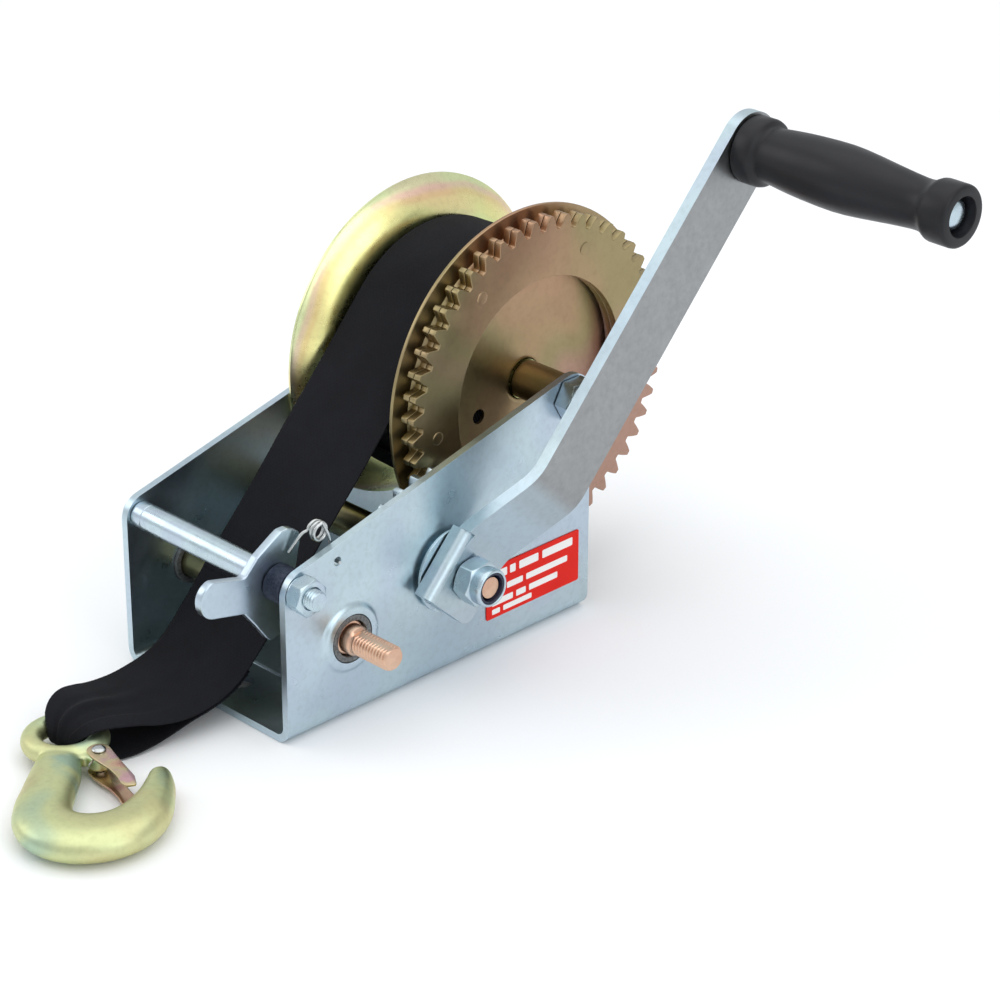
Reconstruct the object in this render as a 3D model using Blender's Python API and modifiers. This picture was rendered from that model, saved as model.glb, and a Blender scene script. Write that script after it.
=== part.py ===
"""Boat trailer winch: two-speed geared hand winch with a webbing strap and a snap hook.

Frame of the part: +X along the shafts towards the crank, -Y towards the side where the
strap leaves, +Z up. The origin is the centre of the underside of the base.
"""
import math

import bmesh
import bpy
from mathutils import Matrix

MM = 0.001

# ---- driving dimensions, in millimetres -------------------------------------------------
FRAME_LENGTH = 157.0
FRAME_HALF_WIDTH = 46.0
PLATE = 3.0
BEND_RADIUS = 6.5
FRONT_HEIGHT = 69.1
SLOPE_DEG = 13.94
APEX_RADIUS = 10.5

REEL_AXIS = (146.0, 93.8)        # (distance behind the front edge, height)
CRANK_AXIS = (80.4, 44.7)
LOW_AXIS = (30.9, 33.8)
TIE_AXIS = (6.7, 61.3)

REEL_TEETH, PINION_TEETH, MID_TEETH = 48, 12, 25
PRESSURE_ANGLE = math.radians(25.0)
ADDENDUM, DEDENDUM, BACKLASH = 0.8, 1.05, 0.36

STRAP_THICKNESS = 1.4
STRAP_X = (-30.2, 18.8)
COIL_INNER, COIL_OUTER = 17.0, 50.5
FLANGE_RADIUS = 69.8
LEFT_FLANGE_RADIUS = 65.9
GEAR_HOLE_RADIUS = 43.7
JOURNAL = 6.8
GAP = 0.3

ARM_LENGTH = 192.0
ARM_DEG = 47.0
ARM_HALF_WIDTH = 13.8
ARM_PLATE = 5.0

HOOK_EYE = (-6.2, -61.5)         # (across, behind the front edge) of the eye's centre
HOOK_TURN_DEG = -25.4
HOOK_HEIGHT = 6.6
LATCH_PIN = (19.2, 8.1)          # along and across the hook, from the eye's centre

ROUND = 20
MODULE = 2.0 * math.dist(REEL_AXIS, CRANK_AXIS) / (REEL_TEETH + PINION_TEETH)
LOW_MODULE = 2.0 * math.dist(CRANK_AXIS, LOW_AXIS) / (MID_TEETH + PINION_TEETH)

# local X, Y, Z of a piece laid out this way run along world Y, Z, X
SIDE = (math.radians(90.0), 0.0, math.radians(90.0))

# ---- scene, collections and materials ----------------------------------------------------
for old in list(bpy.data.objects):
    bpy.data.objects.remove(old, do_unlink=True)

parts = bpy.data.collections.new("boat_trailer_winch")
bpy.context.scene.collection.children.link(parts)
cutters = bpy.data.collections.new("cutters")
bpy.context.scene.collection.children.link(cutters)


def material(name, colour, roughness, metallic):
    made = bpy.data.materials.new(name)
    made.use_nodes = True
    shader = made.node_tree.nodes["Principled BSDF"]
    shader.inputs["Base Color"].default_value = (*colour, 1.0)
    shader.inputs["Roughness"].default_value = roughness
    shader.inputs["Metallic"].default_value = metallic
    return made


ZINC = material("bright_zinc", (0.56, 0.60, 0.63), 0.32, 1.0)
YELLOW_ZINC = material("yellow_zinc", (0.66, 0.58, 0.28), 0.34, 1.0)
BRONZE_ZINC = material("bronze_zinc", (0.42, 0.30, 0.18), 0.38, 1.0)
COPPER_ZINC = material("copper_zinc", (0.62, 0.42, 0.33), 0.36, 1.0)
SHAFT_ZINC = material("olive_zinc", (0.50, 0.47, 0.28), 0.40, 1.0)
BUSH = material("sintered_bush", (0.20, 0.21, 0.21), 0.55, 1.0)
WEBBING = material("black_webbing", (0.012, 0.012, 0.018), 0.85, 0.0)
GRIP = material("black_plastic", (0.015, 0.015, 0.020), 0.38, 0.0)
NYLON = material("blue_black_nylon", (0.010, 0.014, 0.040), 0.45, 0.0)
RED = material("red_label", (0.68, 0.02, 0.012), 0.40, 0.0)
SPRING = material("spring_steel", (0.62, 0.62, 0.60), 0.30, 1.0)


# ---- helpers -----------------------------------------------------------------------------
def scaled(points):
    return [tuple(value * MM for value in point) for point in points]


def finish(obj, name, mat, parent=None, collection=None):
    obj.name = name
    obj.data.name = name
    for used in list(obj.users_collection):
        used.objects.unlink(obj)
    (collection or parts).objects.link(obj)
    obj.data.materials.clear()
    obj.data.materials.append(mat)
    obj.parent = parent
    if obj.type == "MESH":
        obj.data.shade_smooth()
        obj.data.set_sharp_from_angle(angle=math.radians(32.0))
    return obj


def axis_empty(name, y, z, x=0.0, parent=None, turn=(0.0, 0.0, 0.0)):
    """An empty on a joint's axis, with the pieces that turn about it as its children."""
    empty = bpy.data.objects.new(name, None)
    empty.empty_display_size = 0.02
    empty.location = (x * MM, y * MM, z * MM)
    empty.rotation_euler = turn
    empty.parent = parent
    parts.objects.link(empty)
    return empty


def turned(name, profile, mat, parent, at=(0.0, 0.0), closed=False, steps=ROUND, rotation=SIDE):
    """A turned shape: (radius, axial) points down the outer side, about an axis along X."""
    mesh = bpy.data.meshes.new(name)
    points = [(r * MM, 0.0, a * MM) for r, a in profile]
    count = len(points)
    edges = [(i, i + 1) for i in range(count - 1)]
    if closed:
        edges.append((count - 1, 0))
    mesh.from_pydata(points, edges, [])
    obj = bpy.data.objects.new(name, mesh)
    finish(obj, name, mat, parent)
    obj.location = (0.0, at[0] * MM, at[1] * MM)
    obj.rotation_euler = rotation
    screw = obj.modifiers.new("turn", "SCREW")
    screw.axis = "Z"
    screw.steps = steps
    screw.render_steps = steps
    screw.use_merge_vertices = True
    screw.merge_threshold = 0.00001
    screw.use_smooth_shade = True
    return obj


def tube(name, inner, outer, x0, x1, mat, parent, at=(0.0, 0.0), steps=ROUND, chamfer=0.0):
    profile = [(inner, x1), (outer - chamfer, x1), (outer, x1 - chamfer), (outer, x0 + chamfer),
               (outer - chamfer, x0), (inner, x0)]
    if not chamfer:
        profile = [(inner, x1), (outer, x1), (outer, x0), (inner, x0)]
    return turned(name, profile, mat, parent, at, closed=True, steps=steps)


def flat(name, loops, x0, x1, mat, parent, at=(0.0, 0.0), rotation=SIDE, centre=None):
    """A flat outline as a filled 2D curve, as thick as x0 to x1, then made a mesh."""
    curve = bpy.data.curves.new(name, "CURVE")
    curve.dimensions = "2D"
    curve.fill_mode = "BOTH"
    curve.extrude = 0.5 * (x1 - x0) * MM
    for loop in loops:
        spline = curve.splines.new("POLY")
        spline.points.add(len(loop) - 1)
        for point, (u, v) in zip(spline.points, loop):
            point.co = (u * MM, v * MM, 0.0, 1.0)
        spline.use_cyclic_u = True
    obj = bpy.data.objects.new(name + "_outline", curve)
    parts.objects.link(obj)
    middle = 0.5 * (x0 + x1) * MM
    obj.location = centre(middle) if centre else (middle, at[0] * MM, at[1] * MM)
    obj.rotation_euler = rotation
    obj.parent = parent
    return as_mesh(obj, name, mat, parent)


def as_mesh(obj, name, mat, parent):
    bpy.context.view_layer.update()
    graph = bpy.context.evaluated_depsgraph_get()
    mesh = bpy.data.meshes.new_from_object(obj.evaluated_get(graph))
    work = bmesh.new()
    work.from_mesh(mesh)
    bmesh.ops.remove_doubles(work, verts=work.verts, dist=0.000002)
    bmesh.ops.recalc_face_normals(work, faces=work.faces)
    work.to_mesh(mesh)
    work.free()
    made = bpy.data.objects.new(name, mesh)
    location, rotation = obj.location.copy(), obj.rotation_euler.copy()
    bpy.data.objects.remove(obj, do_unlink=True)
    finish(made, name, mat, parent)
    made.location = location
    made.rotation_euler = rotation
    return made


def cylinder(name, radius, x0, x1, at, parent=None, steps=ROUND, rotation=SIDE):
    """A cylinder primitive along X, for cutting."""
    work = bmesh.new()
    bmesh.ops.create_cone(work, cap_ends=True, segments=steps, radius1=radius * MM,
                          radius2=radius * MM, depth=(x1 - x0) * MM)
    mesh = bpy.data.meshes.new(name)
    work.to_mesh(mesh)
    work.free()
    obj = bpy.data.objects.new(name, mesh)
    obj.location = (0.5 * (x0 + x1) * MM, at[0] * MM, at[1] * MM)
    obj.rotation_euler = rotation
    obj.parent = parent
    return helper(obj)


def block(name, size, at, parent=None):
    work = bmesh.new()
    bmesh.ops.create_cube(work, size=1.0)
    bmesh.ops.scale(work, vec=[value * MM for value in size], verts=work.verts)
    mesh = bpy.data.meshes.new(name)
    work.to_mesh(mesh)
    work.free()
    obj = bpy.data.objects.new(name, mesh)
    obj.location = [value * MM for value in at]
    obj.parent = parent
    return helper(obj)


def helper(obj):
    for used in list(obj.users_collection):
        used.objects.unlink(obj)
    cutters.objects.link(obj)
    obj.hide_render = True
    obj.display_type = "WIRE"
    return obj


def boolean(obj, other, operation):
    made = obj.modifiers.new(operation.lower() + "_" + other.name, "BOOLEAN")
    made.operation = operation
    made.solver = "EXACT"
    made.object = other


def cut(obj, other):
    boolean(obj, other, "DIFFERENCE")


def join(obj, other):
    boolean(obj, helper(other), "UNION")


def keep(obj, other):
    boolean(obj, helper(other), "INTERSECT")


def arc(centre, radius, start, end, count):
    step = (end - start) / count
    angles = [math.radians(start + step * i) for i in range(count + 1)]
    return [(centre[0] + radius * math.cos(a), centre[1] + radius * math.sin(a)) for a in angles]


def involute(angle):
    return math.tan(angle) - angle


def gear_outline(teeth, module, phase, flank_points=2):
    """One closed outline with a tooth centred on the angle phase, in radians."""
    pitch = 0.5 * module * teeth
    base = pitch * math.cos(PRESSURE_ANGLE)
    tip = pitch + ADDENDUM * module
    root = pitch - DEDENDUM * module
    half = (0.5 * math.pi * module - 0.5 * BACKLASH) / (2.0 * pitch)
    start = max(base, root + 0.15 * module)
    points = []
    for tooth in range(teeth):
        middle = phase + 2.0 * math.pi * tooth / teeth
        side = []
        for step in range(flank_points):
            radius = start + (tip - start) * step / (flank_points - 1)
            turn = involute(math.acos(min(1.0, base / radius)))
            width = half + involute(PRESSURE_ANGLE) - turn
            side.append((radius, width))
        foot = (root, side[0][1] + 0.12 * module / root)
        for radius, width in [foot] + side:
            points.append((radius * math.cos(middle - width), radius * math.sin(middle - width)))
        for radius, width in reversed([foot] + side):
            points.append((radius * math.cos(middle + width), radius * math.sin(middle + width)))
    return points


def circle(radius, count, centre=(0.0, 0.0)):
    return arc(centre, radius, 0.0, 360.0 - 360.0 / count, count - 1)


def towards(a, b):
    return math.atan2(b[1] - a[1], b[0] - a[0])


# ---- bodies: one empty for each axis -----------------------------------------------------
winch = axis_empty("winch", -0.5 * FRAME_LENGTH, 0.0)
reel_axis = axis_empty("reel_axis", *REEL_AXIS, parent=winch)
crank_axis = axis_empty("crank_axis", *CRANK_AXIS, parent=winch)
crank_turned = axis_empty("crank_turned", 0.0, 0.0, parent=crank_axis,
                          turn=(math.radians(ARM_DEG), 0.0, 0.0))
low_axis = axis_empty("low_axis", *LOW_AXIS, parent=winch)
pawl_axis = axis_empty("pawl_axis", *TIE_AXIS, parent=winch)
grip_axis = axis_empty("grip_axis", ARM_LENGTH, 0.0, parent=crank_turned)
hook_eye = axis_empty("hook_eye", HOOK_EYE[1], HOOK_HEIGHT, HOOK_EYE[0], winch,
                      (0.0, 0.0, math.radians(HOOK_TURN_DEG)))

# ---- frame: a folded channel with formed bearing seats -----------------------------------
half = FRAME_HALF_WIDTH
inner = half - PLATE
top = 115.0
section = [(half, top), (inner, top)]
section += arc((inner - 3.5, PLATE + 3.5), 3.5, 0.0, -90.0, 4)
section += arc((-inner + 3.5, PLATE + 3.5), 3.5, -90.0, -180.0, 4)
section += [(-inner, top), (-half, top)]
section += arc((-half + BEND_RADIUS, BEND_RADIUS), BEND_RADIUS, 180.0, 270.0, 3)
section += arc((half - BEND_RADIUS, BEND_RADIUS), BEND_RADIUS, 270.0, 360.0, 3)
channel = flat("frame_channel", [section], -FRAME_LENGTH - 10.0, 10.0, ZINC, winch,
               rotation=(math.radians(90.0), 0.0, 0.0),
               centre=lambda middle: (0.0, -middle, 0.0))
tangent = 90.0 + SLOPE_DEG
profile = [(0.0, -4.0)]
profile += arc((9.3, FRONT_HEIGHT - 9.3), 9.3, 180.0, tangent, 5)
profile += arc((FRAME_LENGTH - APEX_RADIUS, 92.6), APEX_RADIUS, tangent, 0.0, 6)
profile += [(FRAME_LENGTH, -4.0)]
keep(channel, flat("side_outline", [profile], -60.0, 60.0, ZINC, winch))
for label, at in (("low", LOW_AXIS), ("crank", CRANK_AXIS)):
    for side, sign in (("right", 1.0), ("left", -1.0)):
        rim = [(0.0, 47.5), (11.4, 47.5), (12.9, 46.3), (12.9, 44.5), (0.0, 44.5)]
        if sign < 0.0:
            rim = [(r, -x) for r, x in reversed(rim)]
        join(channel, turned("seat_" + label + "_" + side, rim, ZINC, winch, at))
    cut(channel, cylinder("bore_" + label, 9.7, -60.0, 60.0, at, winch, 24))
cut(channel, cylinder("bore_tie", 4.4, -60.0, 60.0, TIE_AXIS, winch, 16))
cut(channel, cylinder("bore_axle", 5.4, -60.0, 60.0, REEL_AXIS, winch, 16))
cut(channel, cylinder("bore_spring", 1.8, 38.0, 52.0, (25.6, 66.9), winch, 12))
UP = (0.0, 0.0, 0.0)
for index, (x, y) in enumerate(((0.0, 16.0), (-24.0, 132.0), (24.0, 132.0))):
    hole = cylinder("bore_mount_%d" % index, 5.4, -8.0, 12.0, (0.0, 0.0), winch, 20, UP)
    hole.location = (x * MM, y * MM, 0.0)
    cut(channel, hole)

# ---- bearings, axle, tie bolt and the small pieces on the frame --------------------------
for label, at in (("low", LOW_AXIS), ("crank", CRANK_AXIS)):
    tube("bush_" + label + "_right", 7.1, 9.4, 41.5, 47.6, BUSH, winch, at)
    tube("bush_" + label + "_left", 7.1, 9.4, -47.6, -41.5, BUSH, winch, at)

axle = turned("axle_bolt", [(0.0, 47.0), (5.0, 47.0), (5.0, -55.0), (4.2, -56.0), (0.0, -56.0)],
              ZINC, winch, REEL_AXIS, steps=24)
join(axle, turned("axle_head", [(0.0, 53.0), (7.6, 53.0), (9.2, 52.2), (9.2, 46.4), (0.0, 46.4)],
                  ZINC, winch, REEL_AXIS, steps=6))
axle_nut = turned("axle_nut", [(0.0, -46.4), (9.2, -46.4), (9.2, -53.6), (7.6, -54.4), (0.0, -54.4)],
                  ZINC, winch, REEL_AXIS, steps=6)
cut(axle_nut, cylinder("axle_nut_bore", 5.3, -60.0, -40.0, REEL_AXIS, winch, 24))
tube("axle_spacer_right", 5.4, 7.75, 21.7, 42.7, BRONZE_ZINC, winch, REEL_AXIS, 24)
tube("axle_spacer_left", 5.4, 7.75, -42.7, -33.4, BRONZE_ZINC, winch, REEL_AXIS, 24)

turned("tie_bolt", [(0.0, 57.2), (3.3, 57.2), (4.0, 56.4), (4.0, -46.4), (5.6, -46.4), (5.6, -47.2),
                    (4.2, -48.0), (0.0, -48.0)], ZINC, winch, TIE_AXIS)
tie_nut = turned("tie_nut", [(0.0, 53.4), (6.2, 53.4), (7.5, 52.6), (7.5, 47.4), (7.8, 47.2),
                             (7.8, 46.4), (0.0, 46.4)], ZINC, winch, TIE_AXIS, steps=6)
cut(tie_nut, cylinder("tie_nut_bore", 4.3, 40.0, 60.0, TIE_AXIS, winch, 16))
tube("tie_sleeve", 4.3, 5.2, -42.7, 30.1, ZINC, winch, TIE_AXIS)
tube("pawl_bush", 4.3, 7.2, 34.4, 42.7, BUSH, winch, TIE_AXIS, 24)

# ---- drum and reel gear ------------------------------------------------------------------
tube("drum_sleeve", 5.4, 8.0, -33.0, 21.3, YELLOW_ZINC, reel_axis, steps=24)
tube("drum_core", 12.5, 16.6, -30.8, 19.0, YELLOW_ZINC, reel_axis, steps=28)
dish = [(65.9, -40.0), (65.9, -41.4), (64.6, -42.1), (62.4, -40.2), (57.6, -36.0),
        (53.2, -33.5), (49.6, -32.8), (8.4, -32.8), (8.4, -31.2), (50.0, -31.2), (54.2, -32.0),
        (58.8, -34.6), (63.8, -39.0)]
turned("flange_left", dish, YELLOW_ZINC, reel_axis, closed=True, steps=36)
plate = [(FLANGE_RADIUS, 20.9), (FLANGE_RADIUS, 19.4), (61.6, 19.4), (59.6, 21.8), (47.6, 21.8),
         (45.6, 19.4), (8.4, 19.4), (8.4, 20.9), (44.9, 20.9), (46.9, 23.3), (60.3, 23.3),
         (62.3, 20.9)]
flange = turned("flange_right", plate, BRONZE_ZINC, reel_axis, closed=True, steps=40)
hole_angle = math.radians(199.0)
cut(flange, cylinder("dish_hole", 3.0, 15.0, 25.0,
                     (25.9 * math.cos(hole_angle), 25.9 * math.sin(hole_angle)), reel_axis, 16))
mesh_angle = towards(REEL_AXIS, CRANK_AXIS)
reel_phase = mesh_angle + math.pi / REEL_TEETH
for name, x0, x1 in (("gear_plate_inner", 23.6, 26.7), ("gear_plate_outer", 27.0, 30.1)):
    flat(name, [gear_outline(REEL_TEETH, MODULE, reel_phase), circle(GEAR_HOLE_RADIUS, 36)],
         x0, x1, BRONZE_ZINC, reel_axis)
tube("strap_coil", COIL_INNER, COIL_OUTER, STRAP_X[0], STRAP_X[1], WEBBING, reel_axis, steps=44)

# ---- crank shaft with its two gears ------------------------------------------------------
groove = [(JOURNAL, -48.0), (5.6, -48.0), (5.6, -49.4), (6.6, -49.4), (6.6, -50.6), (0.0, -51.2)]
turned("crank_shaft", [(0.0, 69.0), (4.3, 69.0), (4.9, 68.3), (4.9, 47.9), (JOURNAL, 47.5)]
       + groove, COPPER_ZINC, crank_axis)
turned("low_shaft", [(0.0, 69.6), (4.2, 69.6), (4.9, 68.8), (4.9, 52.0), (5.8, 50.0),
                     (JOURNAL, 48.2)] + groove, COPPER_ZINC, low_axis)
for label, parent in (("crank", crank_axis), ("low", low_axis)):
    tube(label + "_clip", 5.9, 10.2, -49.2, -48.2, SPRING, parent)
flat("drive_pinion", [gear_outline(PINION_TEETH, MODULE, mesh_angle + math.pi), circle(7.1, 24)],
     22.3, 31.2, SHAFT_ZINC, crank_axis)
low_angle = towards(CRANK_AXIS, LOW_AXIS)
flat("mid_gear", [gear_outline(MID_TEETH, LOW_MODULE, low_angle + math.pi / MID_TEETH),
                  circle(7.1, 24)], 33.0, 39.6, ZINC, crank_axis)
flat("low_pinion", [gear_outline(PINION_TEETH, LOW_MODULE, low_angle + math.pi),
                    circle(7.1, 24)], 29.6, 40.6, SHAFT_ZINC, low_axis)

# ---- crank: washers, cranked arm with a folded lip, lock nut -----------------------------
tube("crank_washer", 5.2, 17.0, 48.0, 49.2, ZINC, crank_axis, steps=28)
tube("crank_collar", 5.2, 8.3, 49.5, 52.2, ZINC, crank_axis, steps=24)
hub_x, arm_x = 52.5, 70.5
line = [(-15.5, hub_x), (14.0, hub_x), (44.0, arm_x), (206.2, arm_x)]
outer_line = [(206.2, arm_x + ARM_PLATE), (42.6, arm_x + ARM_PLATE), (40.2, arm_x + 4.2),
              (13.8, hub_x + 6.0), (11.6, hub_x + ARM_PLATE), (-15.5, hub_x + ARM_PLATE)]
arm = flat("crank_arm", [line + outer_line], -20.0, 20.0, ZINC, crank_turned,
           rotation=(math.radians(90.0), 0.0, math.radians(90.0)),
           centre=lambda middle: (0.0, 0.0, 0.0))
arm.matrix_basis = Matrix(((0, 1, 0, 0), (1, 0, 0, 0), (0, 0, -1, 0), (0, 0, 0, 1)))
plan = arc((-11.0, 9.2), 4.5, 180.0, 90.0, 4)
plan += arc((ARM_LENGTH + 0.4, 0.0), ARM_HALF_WIDTH, 90.0, -90.0, 14)
plan += arc((-11.0, -9.3), 4.5, 270.0, 180.0, 4)
keep(arm, flat("arm_plan", [plan], 40.0, 90.0, ZINC, crank_turned))
lip = [(13.7, 49.9), (13.7, 54.0), (12.6, 56.6), (10.4, 57.4), (8.9, 56.6), (8.9, 49.9)]
lip_bar = flat("arm_lip", [lip], -14.3, 14.0, ZINC, crank_turned)
lip_bar.matrix_basis = Matrix(((0, 1, 0, 0), (0, 0, 1, 0), (1, 0, 0, 0), (0, 0, 0, 1)))
join(arm, lip_bar)
cut(arm, cylinder("arm_hub_bore", 5.2, 40.0, 90.0, (0.0, 0.0), crank_turned, 20))
cut(arm, cylinder("arm_grip_bore", 4.3, 40.0, 90.0, (ARM_LENGTH, 0.0), crank_turned, 20))
crank_nut = flat("crank_nut", [arc((0.0, 0.0), 9.24, 0.0, 300.0, 5), circle(6.2, 24)], 57.9, 65.2,
                 ZINC, crank_axis)
join(crank_nut, turned("nut_collar", [(6.7, 70.6), (7.6, 69.6), (7.6, 58.3), (5.2, 58.3), (5.2, 66.2),
                                      (6.35, 66.2), (6.35, 70.6)], ZINC, crank_axis, closed=True,
                       steps=24))
tube("nut_ring", 5.2, 6.1, 66.5, 70.2, NYLON, crank_axis)

# ---- grip, free to turn on its bolt ------------------------------------------------------
turned("grip_bolt", [(0.0, 173.0), (5.6, 173.0), (6.3, 172.3), (6.3, 167.4), (4.0, 167.4),
                     (4.0, 70.0), (4.0, 67.2), (3.2, 66.4), (0.0, 66.4)], ZINC, grip_axis, steps=24)
handle = [(7.6, 175.4), (11.0, 175.4), (12.0, 173.6), (12.0, 165.0), (10.0, 161.4),
          (9.6, 157.0), (10.8, 140.0), (12.2, 124.0), (12.5, 108.0), (11.3, 92.0), (10.2, 85.6),
          (11.9, 83.0), (11.9, 76.0), (4.4, 76.0), (4.4, 167.0), (7.6, 167.0)]
turned("grip", handle, GRIP, grip_axis, closed=True)

# ---- pawl, its bush and its spring -------------------------------------------------------
rest = [(-30.4, 65.9), (-31.2, 62.6), (-29.6, 59.2), (-26.6, 57.2), (-23.1, 56.5), (-8.7, 53.3),
        (-3.6, 46.8), (1.2, 40.2), (3.4, 38.0), (11.9, 40.3), (13.3, 41.6), (14.4, 47.0),
        (15.4, 56.0), (16.0, 63.0), (17.4, 69.0), (18.8, 74.6), (18.0, 77.4), (15.6, 79.3),
        (12.9, 80.2), (9.6, 80.2), (7.2, 79.0), (-2.0, 73.6), (-8.2, 67.4), (-23.0, 71.4),
        (-26.6, 71.0), (-29.0, 69.2)]
pawl_outline = [(y - TIE_AXIS[0], z - TIE_AXIS[1]) for y, z in rest]
flat("pawl", [pawl_outline, circle(4.3, 20)], 30.4, 34.0, ZINC, pawl_axis)

COIL_TURNS, WIRE = 2.25, 0.7
spring_at = (22.3, 78.2)
path = [(35.3, 10.6, 72.9), (36.4, 14.6, 75.2), (37.6, 18.4, 77.6)]
steps = 26
for step in range(steps + 1):
    share = step / steps
    turn = math.radians(190.0 - 360.0 * COIL_TURNS * share)
    path.append((38.0 + 3.6 * share, spring_at[0] + 3.1 * math.cos(turn),
                 spring_at[1] + 3.1 * math.sin(turn)))
path += [(41.8, 25.8, 74.0), (41.9, 25.7, 69.0), (42.4, 25.6, 67.2), (44.0, 25.6, 66.9),
         (47.2, 25.6, 66.9)]
wire = bpy.data.curves.new("pawl_spring", "CURVE")
wire.dimensions = "3D"
wire.bevel_depth = WIRE * MM
wire.bevel_resolution = 1
wire.use_fill_caps = True
spline = wire.splines.new("POLY")
spline.points.add(len(path) - 1)
for point, co in zip(spline.points, path):
    point.co = (co[0] * MM, co[1] * MM, co[2] * MM, 1.0)
spring = bpy.data.objects.new("pawl_spring_curve", wire)
parts.objects.link(spring)
spring.parent = winch
as_mesh(spring, "pawl_spring", SPRING, winch)

# ---- label -------------------------------------------------------------------------------
flat("label", [[(100.8, 14.2), (151.2, 14.2), (151.2, 36.2), (100.8, 36.2)]], 46.1, 46.4, RED, winch)

# ---- strap from the drum over the low shaft to the hook's eye ----------------------------
def tangent_normal(c1, r1, c2, r2):
    """The angle of the common outer tangent's normal, on the front-upper side."""
    base = math.atan2(c2[1] - c1[1], c2[0] - c1[0])
    return base - math.acos((r1 - r2) / math.dist(c1, c2))


strap_gap = 0.5 * STRAP_THICKNESS + 0.5
r_coil = COIL_OUTER + strap_gap
r_shaft = JOURNAL + strap_gap
normal = math.degrees(tangent_normal(REEL_AXIS, r_coil, LOW_AXIS, r_shaft)) % 360.0
leave = arc(REEL_AXIS, r_coil, normal - 6.0, normal, 2)
over = arc(LOW_AXIS, r_shaft, normal, normal + 10.0, 2)
route = [(y, z, -5.7, 24.5) for y, z in leave]
steps = 7
for step in range(1, steps):
    share = step / steps
    y = leave[-1][0] + (over[0][0] - leave[-1][0]) * share
    z = leave[-1][1] + (over[0][1] - leave[-1][1]) * share
    route.append((y, z, -5.7 + 0.2 * share, 24.5 - 0.5 * share))
route += [(y, z, -5.5, 24.0) for y, z in over]
route += [(12.0, 24.5, -5.8, 24.0), (3.0, 15.6, -6.2, 24.0), (-6.0, 10.8, -6.3, 24.2),
          (-18.0, 7.4, -6.2, 24.2), (-28.0, 6.2, -6.4, 23.2), (-36.0, 6.6, -6.6, 20.0),
          (-40.2, 7.6, -6.6, 15.5), (-42.8, 8.4, -6.6, 11.5)]
ribbon = bmesh.new()
rows = []
across = 4
for y, z, middle, half_width in route:
    row = []
    for index in range(across + 1):
        x = middle + half_width * (2.0 * index / across - 1.0)
        row.append(ribbon.verts.new((x * MM, y * MM, z * MM)))
    rows.append(row)
for first, second in zip(rows, rows[1:]):
    for index in range(across):
        ribbon.faces.new((first[index], first[index + 1], second[index + 1], second[index]))
mesh = bpy.data.meshes.new("strap_tail")
ribbon.to_mesh(mesh)
ribbon.free()
tail = finish(bpy.data.objects.new("strap_tail", mesh), "strap_tail", WEBBING, winch)
solid = tail.modifiers.new("thickness", "SOLIDIFY")
solid.thickness = STRAP_THICKNESS * MM
solid.offset = 0.0

# ---- snap hook ---------------------------------------------------------------------------
def section_ring(work, at, heading, width, depth, sides=10):
    ring = []
    for index in range(sides):
        angle = 2.0 * math.pi * index / sides
        off = width * math.cos(angle)
        ring.append(work.verts.new(((at[0] - off * math.sin(heading)) * MM,
                                    (at[1] + off * math.cos(heading)) * MM,
                                    depth * math.sin(angle) * MM)))
    return ring


# places along and across the hook from its eye, then half the width and half the depth
body = [(34.8, 25.4, 1.8, 2.4), (36.8, 25.2, 3.0, 3.6), (40.5, 24.3, 4.0, 4.6), (45.5, 22.6, 5.2, 5.4),
        (50.5, 21.0, 6.6, 6.0), (57.0, 17.6, 8.4, 6.3), (63.2, 12.6, 9.8, 6.4),
        (68.0, 5.6, 11.0, 6.5), (69.6, -2.2, 11.8, 6.5), (67.8, -10.6, 12.3, 6.5),
        (62.6, -16.8, 12.2, 6.4), (54.6, -19.6, 11.4, 6.3), (45.5, -18.2, 10.4, 6.1),
        (36.0, -14.2, 9.9, 5.7), (26.5, -10.0, 9.6, 5.2), (18.0, -6.8, 9.2, 4.7),
        (11.5, -4.6, 8.2, 3.9)]
work = bmesh.new()
rings = []
for index, (u, v, width, depth) in enumerate(body):
    before = body[max(0, index - 1)]
    after = body[min(len(body) - 1, index + 1)]
    heading = math.atan2(after[1] - before[1], after[0] - before[0])
    rings.append(section_ring(work, (u, v), heading, width, depth))
for first, second in zip(rings, rings[1:]):
    for index in range(len(first)):
        after = (index + 1) % len(first)
        work.faces.new((first[index], first[after], second[after], second[index]))
work.faces.new(rings[0][::-1])
work.faces.new(rings[-1])
bmesh.ops.recalc_face_normals(work, faces=work.faces)
mesh = bpy.data.meshes.new("hook")
work.to_mesh(mesh)
work.free()
hook = finish(bpy.data.objects.new("hook", mesh), "hook", YELLOW_ZINC, hook_eye)


def torus(name, major, minor, mat, parent, at, around=24, sides=8):
    mesh = bpy.data.meshes.new(name)
    points = [((major + minor * math.cos(a)) * MM, 0.0, minor * math.sin(a) * MM)
              for a in (-2.0 * math.pi * i / sides for i in range(sides))]
    mesh.from_pydata(points, [(i, (i + 1) % sides) for i in range(sides)], [])
    obj = finish(bpy.data.objects.new(name, mesh), name, mat, parent)
    obj.location = [value * MM for value in at]
    screw = obj.modifiers.new("turn", "SCREW")
    screw.steps = around
    screw.render_steps = around
    screw.use_merge_vertices = True
    screw.merge_threshold = 0.00001
    return obj


join(hook, torus("eye_ring", 12.3, 4.1, YELLOW_ZINC, hook_eye, (0.0, 0.0, 0.0)))
lug = cylinder("hook_lug", 3.9, -2.4, 2.4, (0.0, 0.0), hook_eye, 20, UP)
lug.location = (LATCH_PIN[0] * MM, LATCH_PIN[1] * MM, 0.0)
boolean(hook, lug, "UNION")
web = block("lug_web", (9.0, 8.0, 4.6), (14.0, 4.6, 0.0), hook_eye)
boolean(hook, web, "UNION")
pin_bore = cylinder("lug_bore", 1.7, -12.0, 12.0, (0.0, 0.0), hook_eye, 14, UP)
pin_bore.location = lug.location
cut(hook, pin_bore)

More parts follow.
